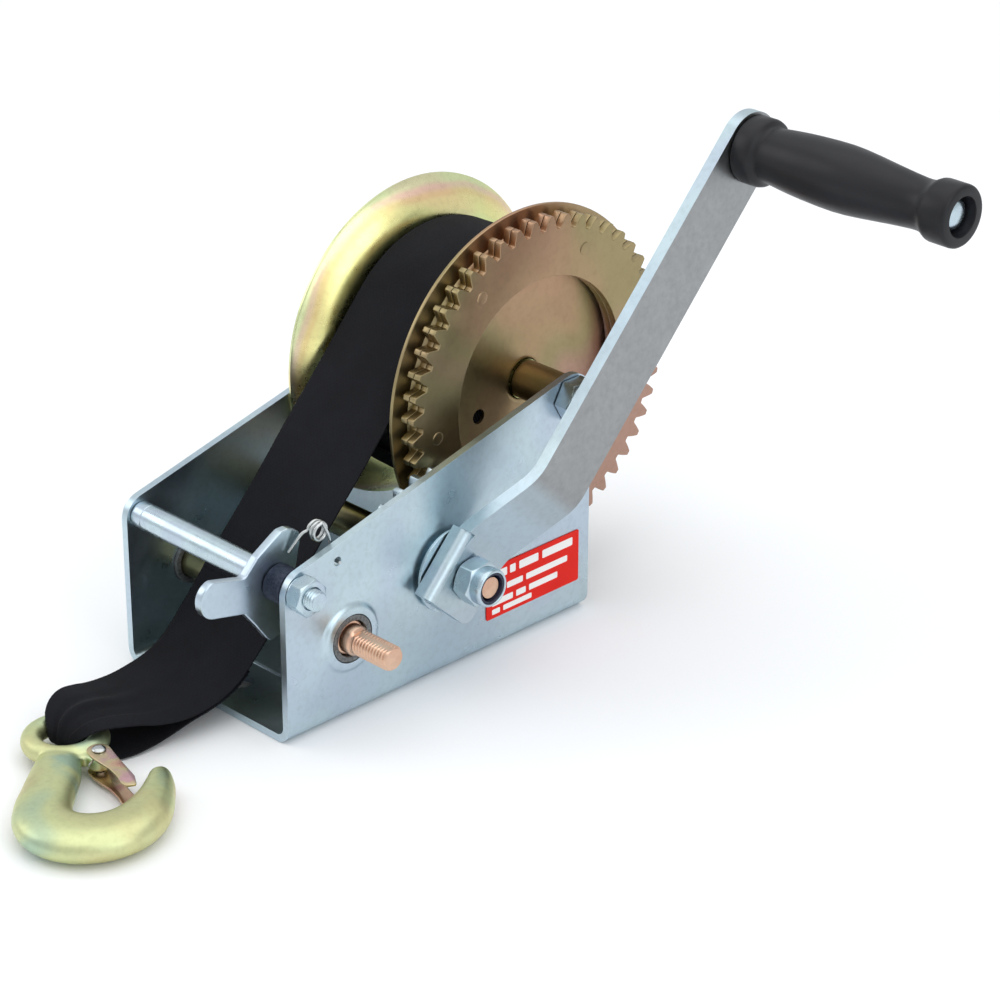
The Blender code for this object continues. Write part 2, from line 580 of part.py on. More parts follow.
latch_axis = axis_empty("latch_axis", LATCH_PIN[1], 0.0, LATCH_PIN[0], hook_eye)
turned("latch_pin", [(0.0, 5.9), (2.6, 5.9), (2.6, 5.1), (1.4, 5.1), (1.4, -5.1), (2.6, -5.1),
                     (2.6, -5.9), (0.0, -5.9)], SPRING, latch_axis, steps=14, rotation=UP)
torus("latch_spring", 2.4, 0.45, SPRING, latch_axis, (0.0, 0.0, 3.05), 14, 6)
cheek = arc((0.0, 0.0), 4.4, 90.0, 270.0, 8)
cheek += [(5.0, -3.9), (10.0, -4.1), (14.0, -3.4), (20.0, -0.8), (24.5, 1.6), (27.2, 3.2),
          (27.5, 7.2), (21.5, 7.9), (8.5, 5.6)]
latch = flat("latch", [cheek, circle(1.7, 14)], 3.8, 4.8, COPPER_ZINC, latch_axis, rotation=UP,
             centre=lambda middle: (0.0, 0.0, middle))
lower = flat("latch_lower", [cheek, circle(1.7, 14)], -4.8, -3.8, COPPER_ZINC, latch_axis,
             rotation=UP, centre=lambda middle: (0.0, 0.0, middle))
join(latch, lower)
bridge = [(27.5, 7.2), (21.5, 7.9), (8.5, 5.6), (8.2, 4.4), (21.5, 6.7), (26.5, 6.1), (26.4, 2.8),
          (27.2, 3.2)]
join(latch, flat("latch_web", [bridge], -4.4, 4.4, COPPER_ZINC, latch_axis, rotation=UP,
                 centre=lambda middle: (0.0, 0.0, middle)))
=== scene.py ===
from math import acos, atan2, copysign, cos, degrees, dist, hypot, pi, radians, sin, tan

import bmesh
import bpy
from mathutils import Matrix, Vector, noise


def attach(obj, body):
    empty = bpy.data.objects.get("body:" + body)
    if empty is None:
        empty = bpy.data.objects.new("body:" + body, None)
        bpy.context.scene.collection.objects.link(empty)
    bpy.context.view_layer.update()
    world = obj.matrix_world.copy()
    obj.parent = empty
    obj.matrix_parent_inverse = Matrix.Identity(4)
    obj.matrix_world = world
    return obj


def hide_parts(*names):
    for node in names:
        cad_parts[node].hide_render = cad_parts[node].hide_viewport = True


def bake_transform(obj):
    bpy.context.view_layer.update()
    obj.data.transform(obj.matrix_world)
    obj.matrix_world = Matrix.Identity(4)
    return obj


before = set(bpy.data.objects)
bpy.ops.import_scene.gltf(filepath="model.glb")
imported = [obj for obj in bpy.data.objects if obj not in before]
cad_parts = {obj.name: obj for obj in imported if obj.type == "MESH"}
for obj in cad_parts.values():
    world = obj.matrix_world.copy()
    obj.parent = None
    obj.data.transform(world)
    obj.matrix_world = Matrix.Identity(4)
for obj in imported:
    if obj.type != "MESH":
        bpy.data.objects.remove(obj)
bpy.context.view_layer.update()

# Lengths below are in millimetres, in the frame of the CAD model: X along the shafts towards the
# crank handle, -Y towards the hook, Z up. Places across the shafts are written (y, z).
MM = 0.001

FRONT = -78.5                   # the frame's front edge
FRAME_LENGTH = 157.0
HALF_WIDTH, PLATE = 46.0, 3.0
TOP_SLOPE_DEG = 13.94           # how far the plates' top edge rises towards the back
MOUNTING_HOLES = ((0.0, 16.0), (-24.0, 132.0), (24.0, 132.0))   # (x, behind the front edge)
MOUNTING_RADIUS = 5.4
SPRING_HOLE = (FRONT + 25.6, 66.9)    # where the pawl spring's tail goes through the plate
REEL, CRANK, LOW, TIE = (67.5, 93.8), (1.9, 44.7), (-47.6, 33.8), (-71.8, 61.3)
ARM_ANGLE = radians(47.0)
ARM_LENGTH = 192.0
GRIP = (CRANK[0] + ARM_LENGTH * cos(ARM_ANGLE), CRANK[1] + ARM_LENGTH * sin(ARM_ANGLE))

REEL_TEETH, PINION_TEETH, MID_TEETH = 48, 12, 25
PRESSURE_ANGLE = radians(25.0)
ADDENDUM, DEDENDUM, BACKLASH = 0.8, 1.1, 0.5
MODULE = 2.0 * dist(REEL, CRANK) / (REEL_TEETH + PINION_TEETH)
LOW_MODULE = 2.0 * dist(CRANK, LOW) / (MID_TEETH + PINION_TEETH)

STRAP_WIDTH, STRAP_THICK = 48.6, 1.2
HALF_STRAP, COIL_MIDDLE = 24.3, -5.7
COIL_INNER, COIL_OUTER, COIL_TURNS = 17.4, 50.0, 26
HOOK_EYE, HOOK_TURN, HOOK_HEIGHT = (-6.2, -140.0), radians(-25.4), 6.6
EYE_RING, EYE_BAR = 12.3, 4.1   # the eye's mean radius and its bar's radius
LATCH_PIN = (19.2, 8.1)         # along and across the hook, from the eye's centre

CAMERA_AT = (838.8, -759.5, 609.8)
CAMERA_FORWARD = (-0.63679, 0.63390, -0.43895)
CAMERA_ROLL_DEG = 0.2
CAMERA_LENS, CAMERA_SENSOR = 118.84, 36.0


# ---- shapes ------------------------------------------------------------------------------
def new_object(name, data):
    obj = bpy.data.objects.new(name, data)
    bpy.context.scene.collection.objects.link(obj)
    return obj


def link(name, mesh, mat, smooth=32.0):
    obj = new_object(name, mesh)
    mesh.materials.clear()
    mesh.materials.append(mat)
    mesh.polygons.foreach_set("use_smooth", [True] * len(mesh.polygons))
    mesh.set_sharp_from_angle(angle=radians(smooth))
    return obj


def solid(name, verts, faces, mat, smooth=32.0, uvs=None):
    """A mesh from points in millimetres. uvs gives one (across, along) pair for each point."""
    mesh = bpy.data.meshes.new(name)
    mesh.from_pydata([(x * MM, y * MM, z * MM) for x, y, z in verts], [], faces)
    work = bmesh_of(mesh)
    bmesh.ops.recalc_face_normals(work, faces=work.faces)
    work.to_mesh(mesh)
    work.free()
    if uvs:
        layer = mesh.uv_layers.new(name="strap")
        for loop in mesh.loops:
            layer.data[loop.index].uv = uvs[loop.vertex_index]
    return link(name, mesh, mat, smooth)


def bmesh_of(mesh):
    work = bmesh.new()
    work.from_mesh(mesh)
    return work


def fillet(points, radius, closed=False, count=3, least_turn=18.0):
    """The outline with its corners rounded. Corners that turn less than least_turn stay."""
    made = []
    last = len(points) - 1
    for index, point in enumerate(points):
        here = Vector(point)
        if not closed and index in (0, last):
            made.append(tuple(here))
            continue
        before, after = Vector(points[index - 1]), Vector(points[(index + 1) % len(points)])
        a, b = before - here, after - here
        if a.length < 1e-6 or b.length < 1e-6:
            continue
        inside = a.angle(b)
        if degrees(pi - inside) < least_turn:
            made.append(tuple(here))
            continue
        reach = min(radius / tan(inside / 2.0), 0.45 * a.length, 0.45 * b.length)
        start, end = here + a.normalized() * reach, here + b.normalized() * reach
        for step in range(count + 1):
            t = step / count
            made.append(tuple(start * (1 - t) ** 2 + here * 2 * t * (1 - t) + end * t ** 2))
    return made


def lathe(name, profile, at, mat, steps=72, closed=False, radius=None, smooth=32.0):
    """Turns (radius, x) points about an axis along X at (y, z). radius(angle, r, x) may bend it."""
    verts, rows, faces = [], [], []
    for r, x in profile:
        if r < 1e-6:
            rows.append([len(verts)])
            verts.append((x, at[0], at[1]))
            continue
        row = []
        for index in range(steps):
            angle = 2.0 * pi * index / steps
            reach = radius(angle, r, x) if radius else r
            row.append(len(verts))
            verts.append((x, at[0] + reach * cos(angle), at[1] + reach * sin(angle)))
        rows.append(row)
    pairs = list(zip(rows, rows[1:])) + ([(rows[-1], rows[0])] if closed else [])
    for first, second in pairs:
        for index in range(steps):
            after = (index + 1) % steps
            if len(first) == 1:
                faces.append((first[0], second[after], second[index]))
            elif len(second) == 1:
                faces.append((first[index], first[after], second[0]))
            else:
                faces.append((first[index], first[after], second[after], second[index]))
    return solid(name, verts, faces, mat, smooth)


def tube_faces(count, rows, base=0):
    """The faces of a tube of rows of count points, numbered from base, with its two ends capped."""
    faces = []
    for a in range(base, base + (rows - 1) * count, count):
        b = a + count
        faces += [(a + i, a + (i + 1) % count, b + (i + 1) % count, b + i) for i in range(count)]
    last = base + (rows - 1) * count
    return faces + [tuple(range(base, base + count)), tuple(range(last, last + count))]


def skin(name, rings, mat, smooth=40.0, uvs=None):
    """A closed tube through rings of points, with its two ends capped."""
    verts = [point for ring in rings for point in ring]
    return solid(name, verts, tube_faces(len(rings[0]), len(rings)), mat, smooth, uvs)


def evaluated(obj, name, mat, smooth=32.0):
    """A new mesh object holding what obj shows, with its modifiers applied, in place of obj."""
    bpy.context.view_layer.update()
    graph = bpy.context.evaluated_depsgraph_get()
    mesh = bpy.data.meshes.new_from_object(obj.evaluated_get(graph))
    mesh.transform(obj.matrix_world)
    bpy.data.objects.remove(obj)
    mesh.name = name
    return link(name, mesh, mat, smooth)


def plate(name, loops, x0, x1, at, mat, edge=0.35, rounds=2, matrix=None, smooth=28.0):
    """A flat plate across X with rounded edges, from closed (y, z) outlines: the first is the
    outside and the rest are holes."""
    curve = bpy.data.curves.new(name, "CURVE")
    curve.dimensions = "2D"
    curve.fill_mode = "BOTH"
    curve.extrude = (0.5 * (x1 - x0) - edge) * MM
    curve.bevel_depth = edge * MM
    curve.offset = -edge * MM
    curve.bevel_resolution = rounds
    for loop in loops:
        spline = curve.splines.new("POLY")
        spline.points.add(len(loop) - 1)
        for point, (y, z) in zip(spline.points, loop):
            point.co = (y * MM, z * MM, 0.0, 1.0)
        spline.use_cyclic_u = True
    obj = new_object(name, curve)
    if matrix is None:
        matrix = Matrix(((0, 0, 1, 0.5 * (x0 + x1) * MM), (1, 0, 0, at[0] * MM),
                         (0, 1, 0, at[1] * MM), (0, 0, 0, 1)))
    obj.matrix_world = matrix
    across = matrix.to_3x3() @ Vector((0.0, 0.0, 1.0))
    made = weld(evaluated(obj, name, mat, smooth))
    for face in made.data.polygons:
        face.use_smooth = abs(face.normal.dot(across)) < 0.999
    return made


def weld(obj, distance=0.002):
    work = bmesh_of(obj.data)
    bmesh.ops.remove_doubles(work, verts=work.verts, dist=distance * MM)
    bmesh.ops.recalc_face_normals(work, faces=work.faces)
    work.to_mesh(obj.data)
    work.free()
    return obj


def combine(obj, other, operation):
    """Cuts, joins or intersects with another mesh, which is used up."""
    change = obj.modifiers.new("combine", "BOOLEAN")
    change.operation = operation
    change.solver = "EXACT"
    change.object = other
    name, mat = obj.name, obj.data.materials[0]
    made = evaluated(obj, name + "_made", mat)
    bpy.data.objects.remove(other)
    made.name = name
    return made


def prism(name, outline, ends, mat, point=lambda end, a, b: (end, a, b)):
    """A closed outline carried from one end to the other. point(end, a, b) gives its (x, y, z)."""
    verts = [point(end, a, b) for end in ends for a, b in outline]
    return solid(name, verts, tube_faces(len(outline), 2), mat)


def rod(radius, x0, x1, at, steps=48):
    return lathe("cutter", [(0.0, x0), (radius, x0), (radius, x1), (0.0, x1)], at, GREY, steps)


def soften(obj, width, segments=2, angle=35.0):
    """Rounds the edges that are sharper than angle."""
    bevel = obj.modifiers.new("edges", "BEVEL")
    bevel.width = width * MM
    bevel.segments = segments
    bevel.limit_method = "ANGLE"
    bevel.angle_limit = radians(angle)
    bevel.miter_outer = "MITER_ARC"
    bevel.harden_normals = True


def arc(centre, radius, start, end, count):
    step = (end - start) / count
    angles = [radians(start + step * i) for i in range(count + 1)]
    return [(centre[0] + radius * cos(a), centre[1] + radius * sin(a)) for a in angles]


def box(a0, a1, b0, b1, radius, count=3):
    """A rectangle's outline with rounded corners."""
    return fillet([(a0, b0), (a1, b0), (a1, b1), (a0, b1)], radius, closed=True, count=count)


def circle(radius, count=64, centre=(0.0, 0.0)):
    return arc(centre, radius, 0.0, 360.0 - 360.0 / count, count - 1)


def towards(a, b):
    return atan2(b[1] - a[1], b[0] - a[0])


def involute(angle):
    return tan(angle) - angle


def gear_outline(teeth, module, phase, flank_points=6):
    """A gear's outline with a tooth centred on the angle phase."""
    pitch = 0.5 * module * teeth
    base = pitch * cos(PRESSURE_ANGLE)
    tip = pitch + ADDENDUM * module
    root = pitch - DEDENDUM * module
    half = (0.5 * pi * module - 0.5 * BACKLASH) / (2.0 * pitch)
    start = max(base, root + 0.15 * module)
    points = []
    for tooth in range(teeth):
        middle = phase + 2.0 * pi * tooth / teeth
        side = []
        for step in range(flank_points):
            radius = start + (tip - start) * step / (flank_points - 1)
            turn = involute(acos(min(1.0, base / radius)))
            side.append((radius, half + involute(PRESSURE_ANGLE) - turn))
        foot = (root, side[0][1] + 0.12 * module / root)
        outline = [(r, -w) for r, w in [foot] + side] + [(r, w) for r, w in reversed([foot] + side)]
        points += [(r * cos(middle + w), r * sin(middle + w)) for r, w in outline]
    return fillet(points, 0.45, closed=True, count=2, least_turn=25.0)


def hexagon(across_flats, turn=0.0):
    """The reach of a hexagon's side at each angle, for lathe()."""
    def reach(angle, r, x):
        local = (angle - turn) % (pi / 3.0) - pi / 6.0
        return min(r, 0.5 * across_flats / cos(local))
    return reach


def hex_profile(across_flats, low, high, bore=0.0, square_low=False):
    """A profile whose ends are cut to cones, as a nut's corners are. square_low leaves one whole."""
    corner = 0.5 * across_flats / cos(pi / 6.0)
    flat = 0.5 * across_flats
    drop = (corner - flat) * 0.58 + 0.15
    steps = 5
    cone = [(flat - 0.25 + (corner - flat + 0.25) * i / steps, drop * i / steps)
            for i in range(steps + 1)]
    outer = [(corner, low)] if square_low else [(r, low + x) for r, x in cone]
    outer += [(corner, low + drop + (high - low - 2 * drop) * i / 4.0) for i in range(1, 4)]
    outer += [(r, high - x) for r, x in reversed(cone)]
    if bore:
        return [(bore, low + 0.5), (bore + 0.5, low)] + outer + [(bore + 0.5, high), (bore, high - 0.5)]
    return [(0.0, low)] + outer + [(0.0, high)]


def thread_points(x0, x1, major, minor, pitch, chamfer=0.8):
    """Profile stations fine enough to carry a helix, and the reach function that makes it."""
    count = int((x1 - x0) / pitch * 10)
    stations = [(major, x0 + (x1 - x0) * i / count) for i in range(count + 1)]

    def reach(angle, r, x, low=x0, high=x1):
        if x < low or x > high:
            return r
        phase = (x / pitch - angle / (2.0 * pi)) % 1.0
        ridge = 1.0 - abs(2.0 * phase - 1.0)
        ridge = min(1.0, max(0.0, ridge * 1.35 - 0.15))
        runout = min(1.0, max(0.0, (x - low) / (1.2 * pitch)))
        end = max(0.0, chamfer - (high - x)) * 0.9
        return min(major - (major - minor) * (1.0 - ridge) * runout, major - end)
    return stations, reach


# ---- materials ---------------------------------------------------------------------------
class Nodes:
    """A material under construction."""

    def __init__(self, name):
        self.mat = bpy.data.materials.new(name)
        self.mat.use_nodes = True
        self.tree = self.mat.node_tree
        self.shader = self.tree.nodes["Principled BSDF"]
        self.place = self.add("ShaderNodeTexCoord")

    def add(self, kind, **values):
        node = self.tree.nodes.new(kind)
        for key, value in values.items():
            if key in node.inputs:
                node.inputs[key].default_value = value
            else:
                setattr(node, key, value)
        return node

    def wire(self, a, b):
        self.tree.links.new(a, b)

    def noise(self, scale, detail=3.0, rough=0.55, distortion=0.0):
        made = self.add("ShaderNodeTexNoise", Scale=scale, Detail=detail, Roughness=rough,
                        Distortion=distortion)
        self.wire(self.place.outputs["Object"], made.inputs["Vector"])
        return made.outputs["Fac"]

    def ramp(self, value, stops, interpolation="LINEAR"):
        made = self.add("ShaderNodeValToRGB")
        made.color_ramp.interpolation = interpolation
        elements = made.color_ramp.elements
        while len(elements) > 1:
            elements.remove(elements[-1])
        for index, (at, colour) in enumerate(stops):
            element = elements[0] if index == 0 else elements.new(at)
            element.position = at
            element.color = (*colour, 1.0)
        self.wire(value, made.inputs["Fac"])
        return made.outputs["Color"]

    def scale(self, value, low, high, start=0.0, end=1.0):
        made = self.add("ShaderNodeMapRange", **{"From Min": start, "From Max": end, "To Min": low,
                                                 "To Max": high})
        self.wire(value, made.inputs["Value"])
        return made.outputs["Result"]

    def math(self, operation, a, b=None):
        made = self.add("ShaderNodeMath", operation=operation)
        for socket, value in zip(made.inputs, (a, b)):
            if value is None:
                continue
            if isinstance(value, (int, float)):
                socket.default_value = value
            else:
                self.wire(value, socket)
        return made.outputs["Value"]

    def mix(self, factor, a, b, blend="MIX"):
        made = self.add("ShaderNodeMix", data_type="RGBA", blend_type=blend)
        for socket, value in ((made.inputs[0], factor), (made.inputs[6], a), (made.inputs[7], b)):
            if isinstance(value, (int, float)):
                socket.default_value = value
            elif isinstance(value, tuple):
                socket.default_value = (*value, 1.0)
            else:
                self.wire(value, socket)
        return made.outputs[2]

    def bump(self, heights):
        """Stacks (height, strength, distance in millimetres) layers on the normal."""
        normal = None
        for height, strength, distance in heights:
            made = self.add("ShaderNodeBump", Strength=strength, Distance=distance * MM)
            self.wire(height, made.inputs["Height"])
            if normal:
                self.wire(normal, made.inputs["Normal"])
            normal = made.outputs["Normal"]
        self.wire(normal, self.shader.inputs["Normal"])

    def vector(self, operation, a, b=None):
        made = self.add("ShaderNodeVectorMath", operation=operation)
        self.wire(a, made.inputs[0])
        if b:
            made.inputs[1].default_value = b
        return made.outputs["Value" if operation == "LENGTH" else "Vector"]

    def axis(self, source, name):
        made = self.add("ShaderNodeSeparateXYZ")
        self.wire(self.place.outputs[source], made.inputs["Vector"])
        return made.outputs[name]

    def set(self, **values):
        for key, value in values.items():
            socket = self.shader.inputs[key.replace("_", " ")]
            if hasattr(value, "is_linked"):
                self.wire(value, socket)
            else:
                socket.default_value = (*value, 1.0) if isinstance(value, tuple) else value


def plated(name, stops, rough=(0.24, 0.40), cloud=22.0, pebble=0.25, dirt=0.0, overlay=None):
    """Plated steel: clouded colour from thin passivation over a fine grain. overlay(m, colour)
    may lay another colour over part of the piece."""
    m = Nodes(name)
    colour = m.ramp(m.noise(cloud, 2.0, 0.45, distortion=0.5), stops, "EASE")
    if overlay:
        colour = overlay(m, colour)
    fine = m.noise(420.0, 3.0, 0.6)
    colour = m.mix(m.scale(fine, 0.0, 0.14, 0.45, 0.75), colour, (0.30, 0.29, 0.27), "MULTIPLY")
    if dirt:
        stain = m.scale(m.noise(60.0, 5.0, 0.65), 0.0, dirt, 0.55, 0.75)
        colour = m.mix(stain, colour, (0.10, 0.09, 0.07))
    rough_value = m.scale(m.noise(90.0, 4.0, 0.6), rough[0], rough[1], 0.3, 0.7)
    m.set(Base_Color=colour, Metallic=1.0, Roughness=rough_value)
    m.bump([(m.noise(160.0, 3.0, 0.5), pebble, 0.12), (fine, 0.35 * pebble, 0.05)])
    return m.mat


def painted_dark_reflection(m, colour):
    """The arm's long straight faces across X are painted a darker grey than its edges, bend and hub: a
    painted reflection of darker surroundings, speckled with a fine grain.
    """
    # Painted reflection: a darker grey with fine grain is laid over the upper arm's faces across X.
    face = m.scale(m.math("ABSOLUTE", m.axis("Normal", "X")), 0.0, 1.0, 0.80, 0.97)
    face = m.math("MULTIPLY", face, m.scale(m.axis("Object", "X"), 0.25, 1.0, 0.066, 0.070))
    grain = m.ramp(m.noise(260.0, 4.0, 0.65),
                   [(0.35, (0.305, 0.315, 0.320)), (0.65, (0.335, 0.345, 0.350))])
    return m.mix(face, colour, grain)


def rim_bands(m, colour):
    """Yellow passivation runs through olive, yellow, gold and pink towards the flange's rim."""
    apart = m.vector("SUBTRACT", m.place.outputs["Object"], (0.0, REEL[0] * MM, REEL[1] * MM))
    reach = m.vector("LENGTH", m.vector("MULTIPLY", apart, (0.0, 1.0, 1.0)))
    drift = m.math("MULTIPLY", m.noise(14.0, 2.0, 0.5), 0.016)
    band = m.scale(m.math("ADD", reach, drift), 0.0, 1.0, 0.058, 0.0745)
    return m.mix(0.7, colour, m.ramp(band, RIM_STOPS, "EASE"))


def painted_shade_inside_frame(m, colour):
    """Between the frame's plates the shafts are painted a darker olive: painted shade inside the frame,
    tinted olive.
    """
    # Painted shade: the shafts turn dark olive where they run inside the frame.
    outside = m.scale(m.axis("Object", "X"), 0.0, 1.0, 0.0440, 0.0455)
    inside = m.ramp(m.noise(50.0, 2.0, 0.5), [(0.35, (0.24, 0.22, 0.12)), (0.65, (0.34, 0.31, 0.18))])
    return m.mix(outside, inside, colour)


ZINC_STOPS = [(0.34, (0.46, 0.57, 0.64)), (0.5, (0.52, 0.64, 0.69)), (0.66, (0.50, 0.59, 0.68))]
YELLOW_STOPS = [(0.34, (0.80, 0.60, 0.26)), (0.42, (0.92, 0.84, 0.36)), (0.52, (0.90, 0.86, 0.40)),
                (0.60, (0.70, 0.80, 0.42)), (0.68, (0.80, 0.54, 0.42))]
RIM_STOPS = [(0.0, (0.46, 0.48, 0.22)), (0.26, (0.66, 0.72, 0.32)), (0.46, (0.92, 0.88, 0.38)),
             (0.62, (0.94, 0.82, 0.36)), (0.74, (0.88, 0.64, 0.30)), (0.86, (0.84, 0.58, 0.46)),
             (0.97, (0.74, 0.80, 0.46))]
HOOK_STOPS = [(0.34, (0.66, 0.50, 0.32)), (0.44, (0.62, 0.60, 0.32)), (0.54, (0.62, 0.66, 0.36)),
              (0.66, (0.42, 0.56, 0.42))]
BRONZE_STOPS = [(0.34, (0.44, 0.26, 0.17)), (0.46, (0.40, 0.27, 0.16)), (0.55, (0.33, 0.27, 0.14)),
                (0.66, (0.42, 0.26, 0.20))]
COPPER_STOPS = [(0.35, (0.68, 0.42, 0.30)), (0.65, (0.74, 0.50, 0.36))]
OLIVE_STOPS = [(0.35, (0.30, 0.27, 0.15)), (0.50, (0.36, 0.33, 0.19)), (0.65, (0.32, 0.27, 0.17))]
LATCH_STOPS = [(0.34, (0.56, 0.30, 0.24)), (0.46, (0.66, 0.44, 0.30)), (0.56, (0.60, 0.50, 0.30)),
               (0.66, (0.58, 0.36, 0.38))]
SPRING_STOPS = [(0.35, (0.58, 0.60, 0.60)), (0.65, (0.50, 0.52, 0.52))]

GREY = bpy.data.materials.new("cutter_grey")
ZINC = plated("bright_zinc", ZINC_STOPS, (0.26, 0.38), 14.0, 0.12)
FASTENER = plated("fastener_zinc", ZINC_STOPS, (0.22, 0.34), 60.0, 0.10)
YELLOW = plated("yellow_zinc", YELLOW_STOPS, (0.22, 0.34), 13.0, 0.08, overlay=rim_bands)
BRONZE = plated("bronze_zinc", BRONZE_STOPS, (0.30, 0.42), 9.0, 0.14)
# The shafts carry painted shade, tinted olive, between the frame's plates.
COPPER = plated("copper_zinc", COPPER_STOPS, (0.26, 0.38), 90.0, 0.12, overlay=painted_shade_inside_frame)
OLIVE = plated("olive_zinc", OLIVE_STOPS, (0.30, 0.42), 50.0, 0.16)
FORGED = plated("forged_hook_zinc", HOOK_STOPS, (0.38, 0.50), 26.0, 0.35, dirt=0.08)
LATCH = plated("latch_zinc", LATCH_STOPS, (0.24, 0.36), 80.0, 0.12)
SPRING = plated("spring_wire", SPRING_STOPS, (0.22, 0.32), 120.0, 0.08)
# The arm's faces across X carry a painted dark reflection.
ARM = plated("arm_zinc", ZINC_STOPS, (0.30, 0.42), 20.0, 0.14, overlay=painted_dark_reflection)


def sintered(name, low, high):
    m = Nodes(name)
    grain = m.noise(900.0, 4.0, 0.7)
    m.set(Base_Color=m.ramp(grain, [(0.35, low), (0.65, high)]),
          Metallic=0.8, Roughness=m.scale(grain, 0.45, 0.65))
    m.bump([(grain, 0.5, 0.08)])
    return m.mat


def webbing():
    """Woven polyester: short raised floats in offset rows, darker in the gaps between them."""
    m = Nodes("black_webbing")
    weave = m.add("ShaderNodeTexBrick", Scale=1.0, Bias=0.0, offset=0.5, offset_frequency=2,
                  Color1=(1.0, 1.0, 1.0, 1.0), Color2=(0.82, 0.82, 0.82, 1.0),
                  Mortar=(0.0, 0.0, 0.0, 1.0),
                  **{"Mortar Size": 0.16, "Mortar Smooth": 1.0, "Brick Width": 2.3, "Row Height": 0.95})
    turn = m.add("ShaderNodeMapping", Rotation=(0.0, 0.0, radians(90.0)))
    m.wire(m.place.outputs["UV"], turn.inputs["Vector"])
    m.wire(turn.outputs["Vector"], weave.inputs["Vector"])
    fibre = m.noise(1500.0, 2.0, 0.6)
    cloud = m.noise(45.0, 3.0, 0.6)
    base = m.ramp(cloud, [(0.30, (0.0060, 0.0062, 0.0085)), (0.70, (0.0095, 0.0100, 0.0140))])
    colour = m.mix(m.scale(weave.outputs["Color"], 0.55, 0.0), base, (0.002, 0.002, 0.003))
    m.set(Base_Color=colour, Metallic=0.0, Roughness=m.scale(fibre, 0.80, 0.95),
          Specular_IOR_Level=0.2)
    m.bump([(weave.outputs["Color"], 0.60, 0.25), (fibre, 0.20, 0.05)])
    return m.mat


def moulded(name, low, high, rough, grain=900.0, strength=0.12, gloss=0.5):
    m = Nodes(name)
    fine = m.noise(grain, 3.0, 0.6)
    cloud = m.noise(35.0, 3.0, 0.5)
    m.set(Base_Color=m.ramp(cloud, [(0.3, low), (0.7, high)]), Metallic=0.0, Specular_IOR_Level=gloss,
          Roughness=m.scale(m.noise(60.0, 4.0, 0.6), rough[0], rough[1], 0.3, 0.7))
    m.bump([(fine, strength, 0.06), (cloud, 0.08, 0.2)])
    return m.mat


BUSH = sintered("sintered_bush", (0.10, 0.10, 0.10), (0.24, 0.25, 0.25))
# Painted shade: the pawl's spacer bush is coloured blue-black for the shade it sits in next to the plate.
DARK_BUSH = sintered("painted_shade_bush", (0.020, 0.026, 0.045), (0.060, 0.070, 0.100))
WEBBING = webbing()
PLASTIC = moulded("black_plastic", (0.009, 0.009, 0.011), (0.013, 0.013, 0.016), (0.34, 0.46),
                  gloss=0.28)
NYLON = moulded("blue_black_nylon", (0.006, 0.009, 0.030), (0.012, 0.016, 0.050), (0.30, 0.42))
RED = moulded("red_label_film", (0.68, 0.014, 0.008), (0.76, 0.020, 0.011), (0.30, 0.38), 500.0, 0.05,
              gloss=0.12)
WHITE_INK = moulded("white_ink", (0.84, 0.82, 0.80), (0.90, 0.88, 0.86), (0.35, 0.45), 500.0, 0.05)


def place(obj, body, *nodes):
    """Rides the piece on a body and hides the CAD nodes it stands for."""
    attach(obj, body)
    if nodes:
        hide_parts(*nodes)


def turned(name, profile, at, mat, body, *nodes, **shape):
    """A turned piece, placed on its body."""
    place(lathe(name, profile, at, mat, **shape), body, *nodes)


def y_of(distance):
    """A distance behind the frame's front edge as a place in Y."""
    return distance + FRONT


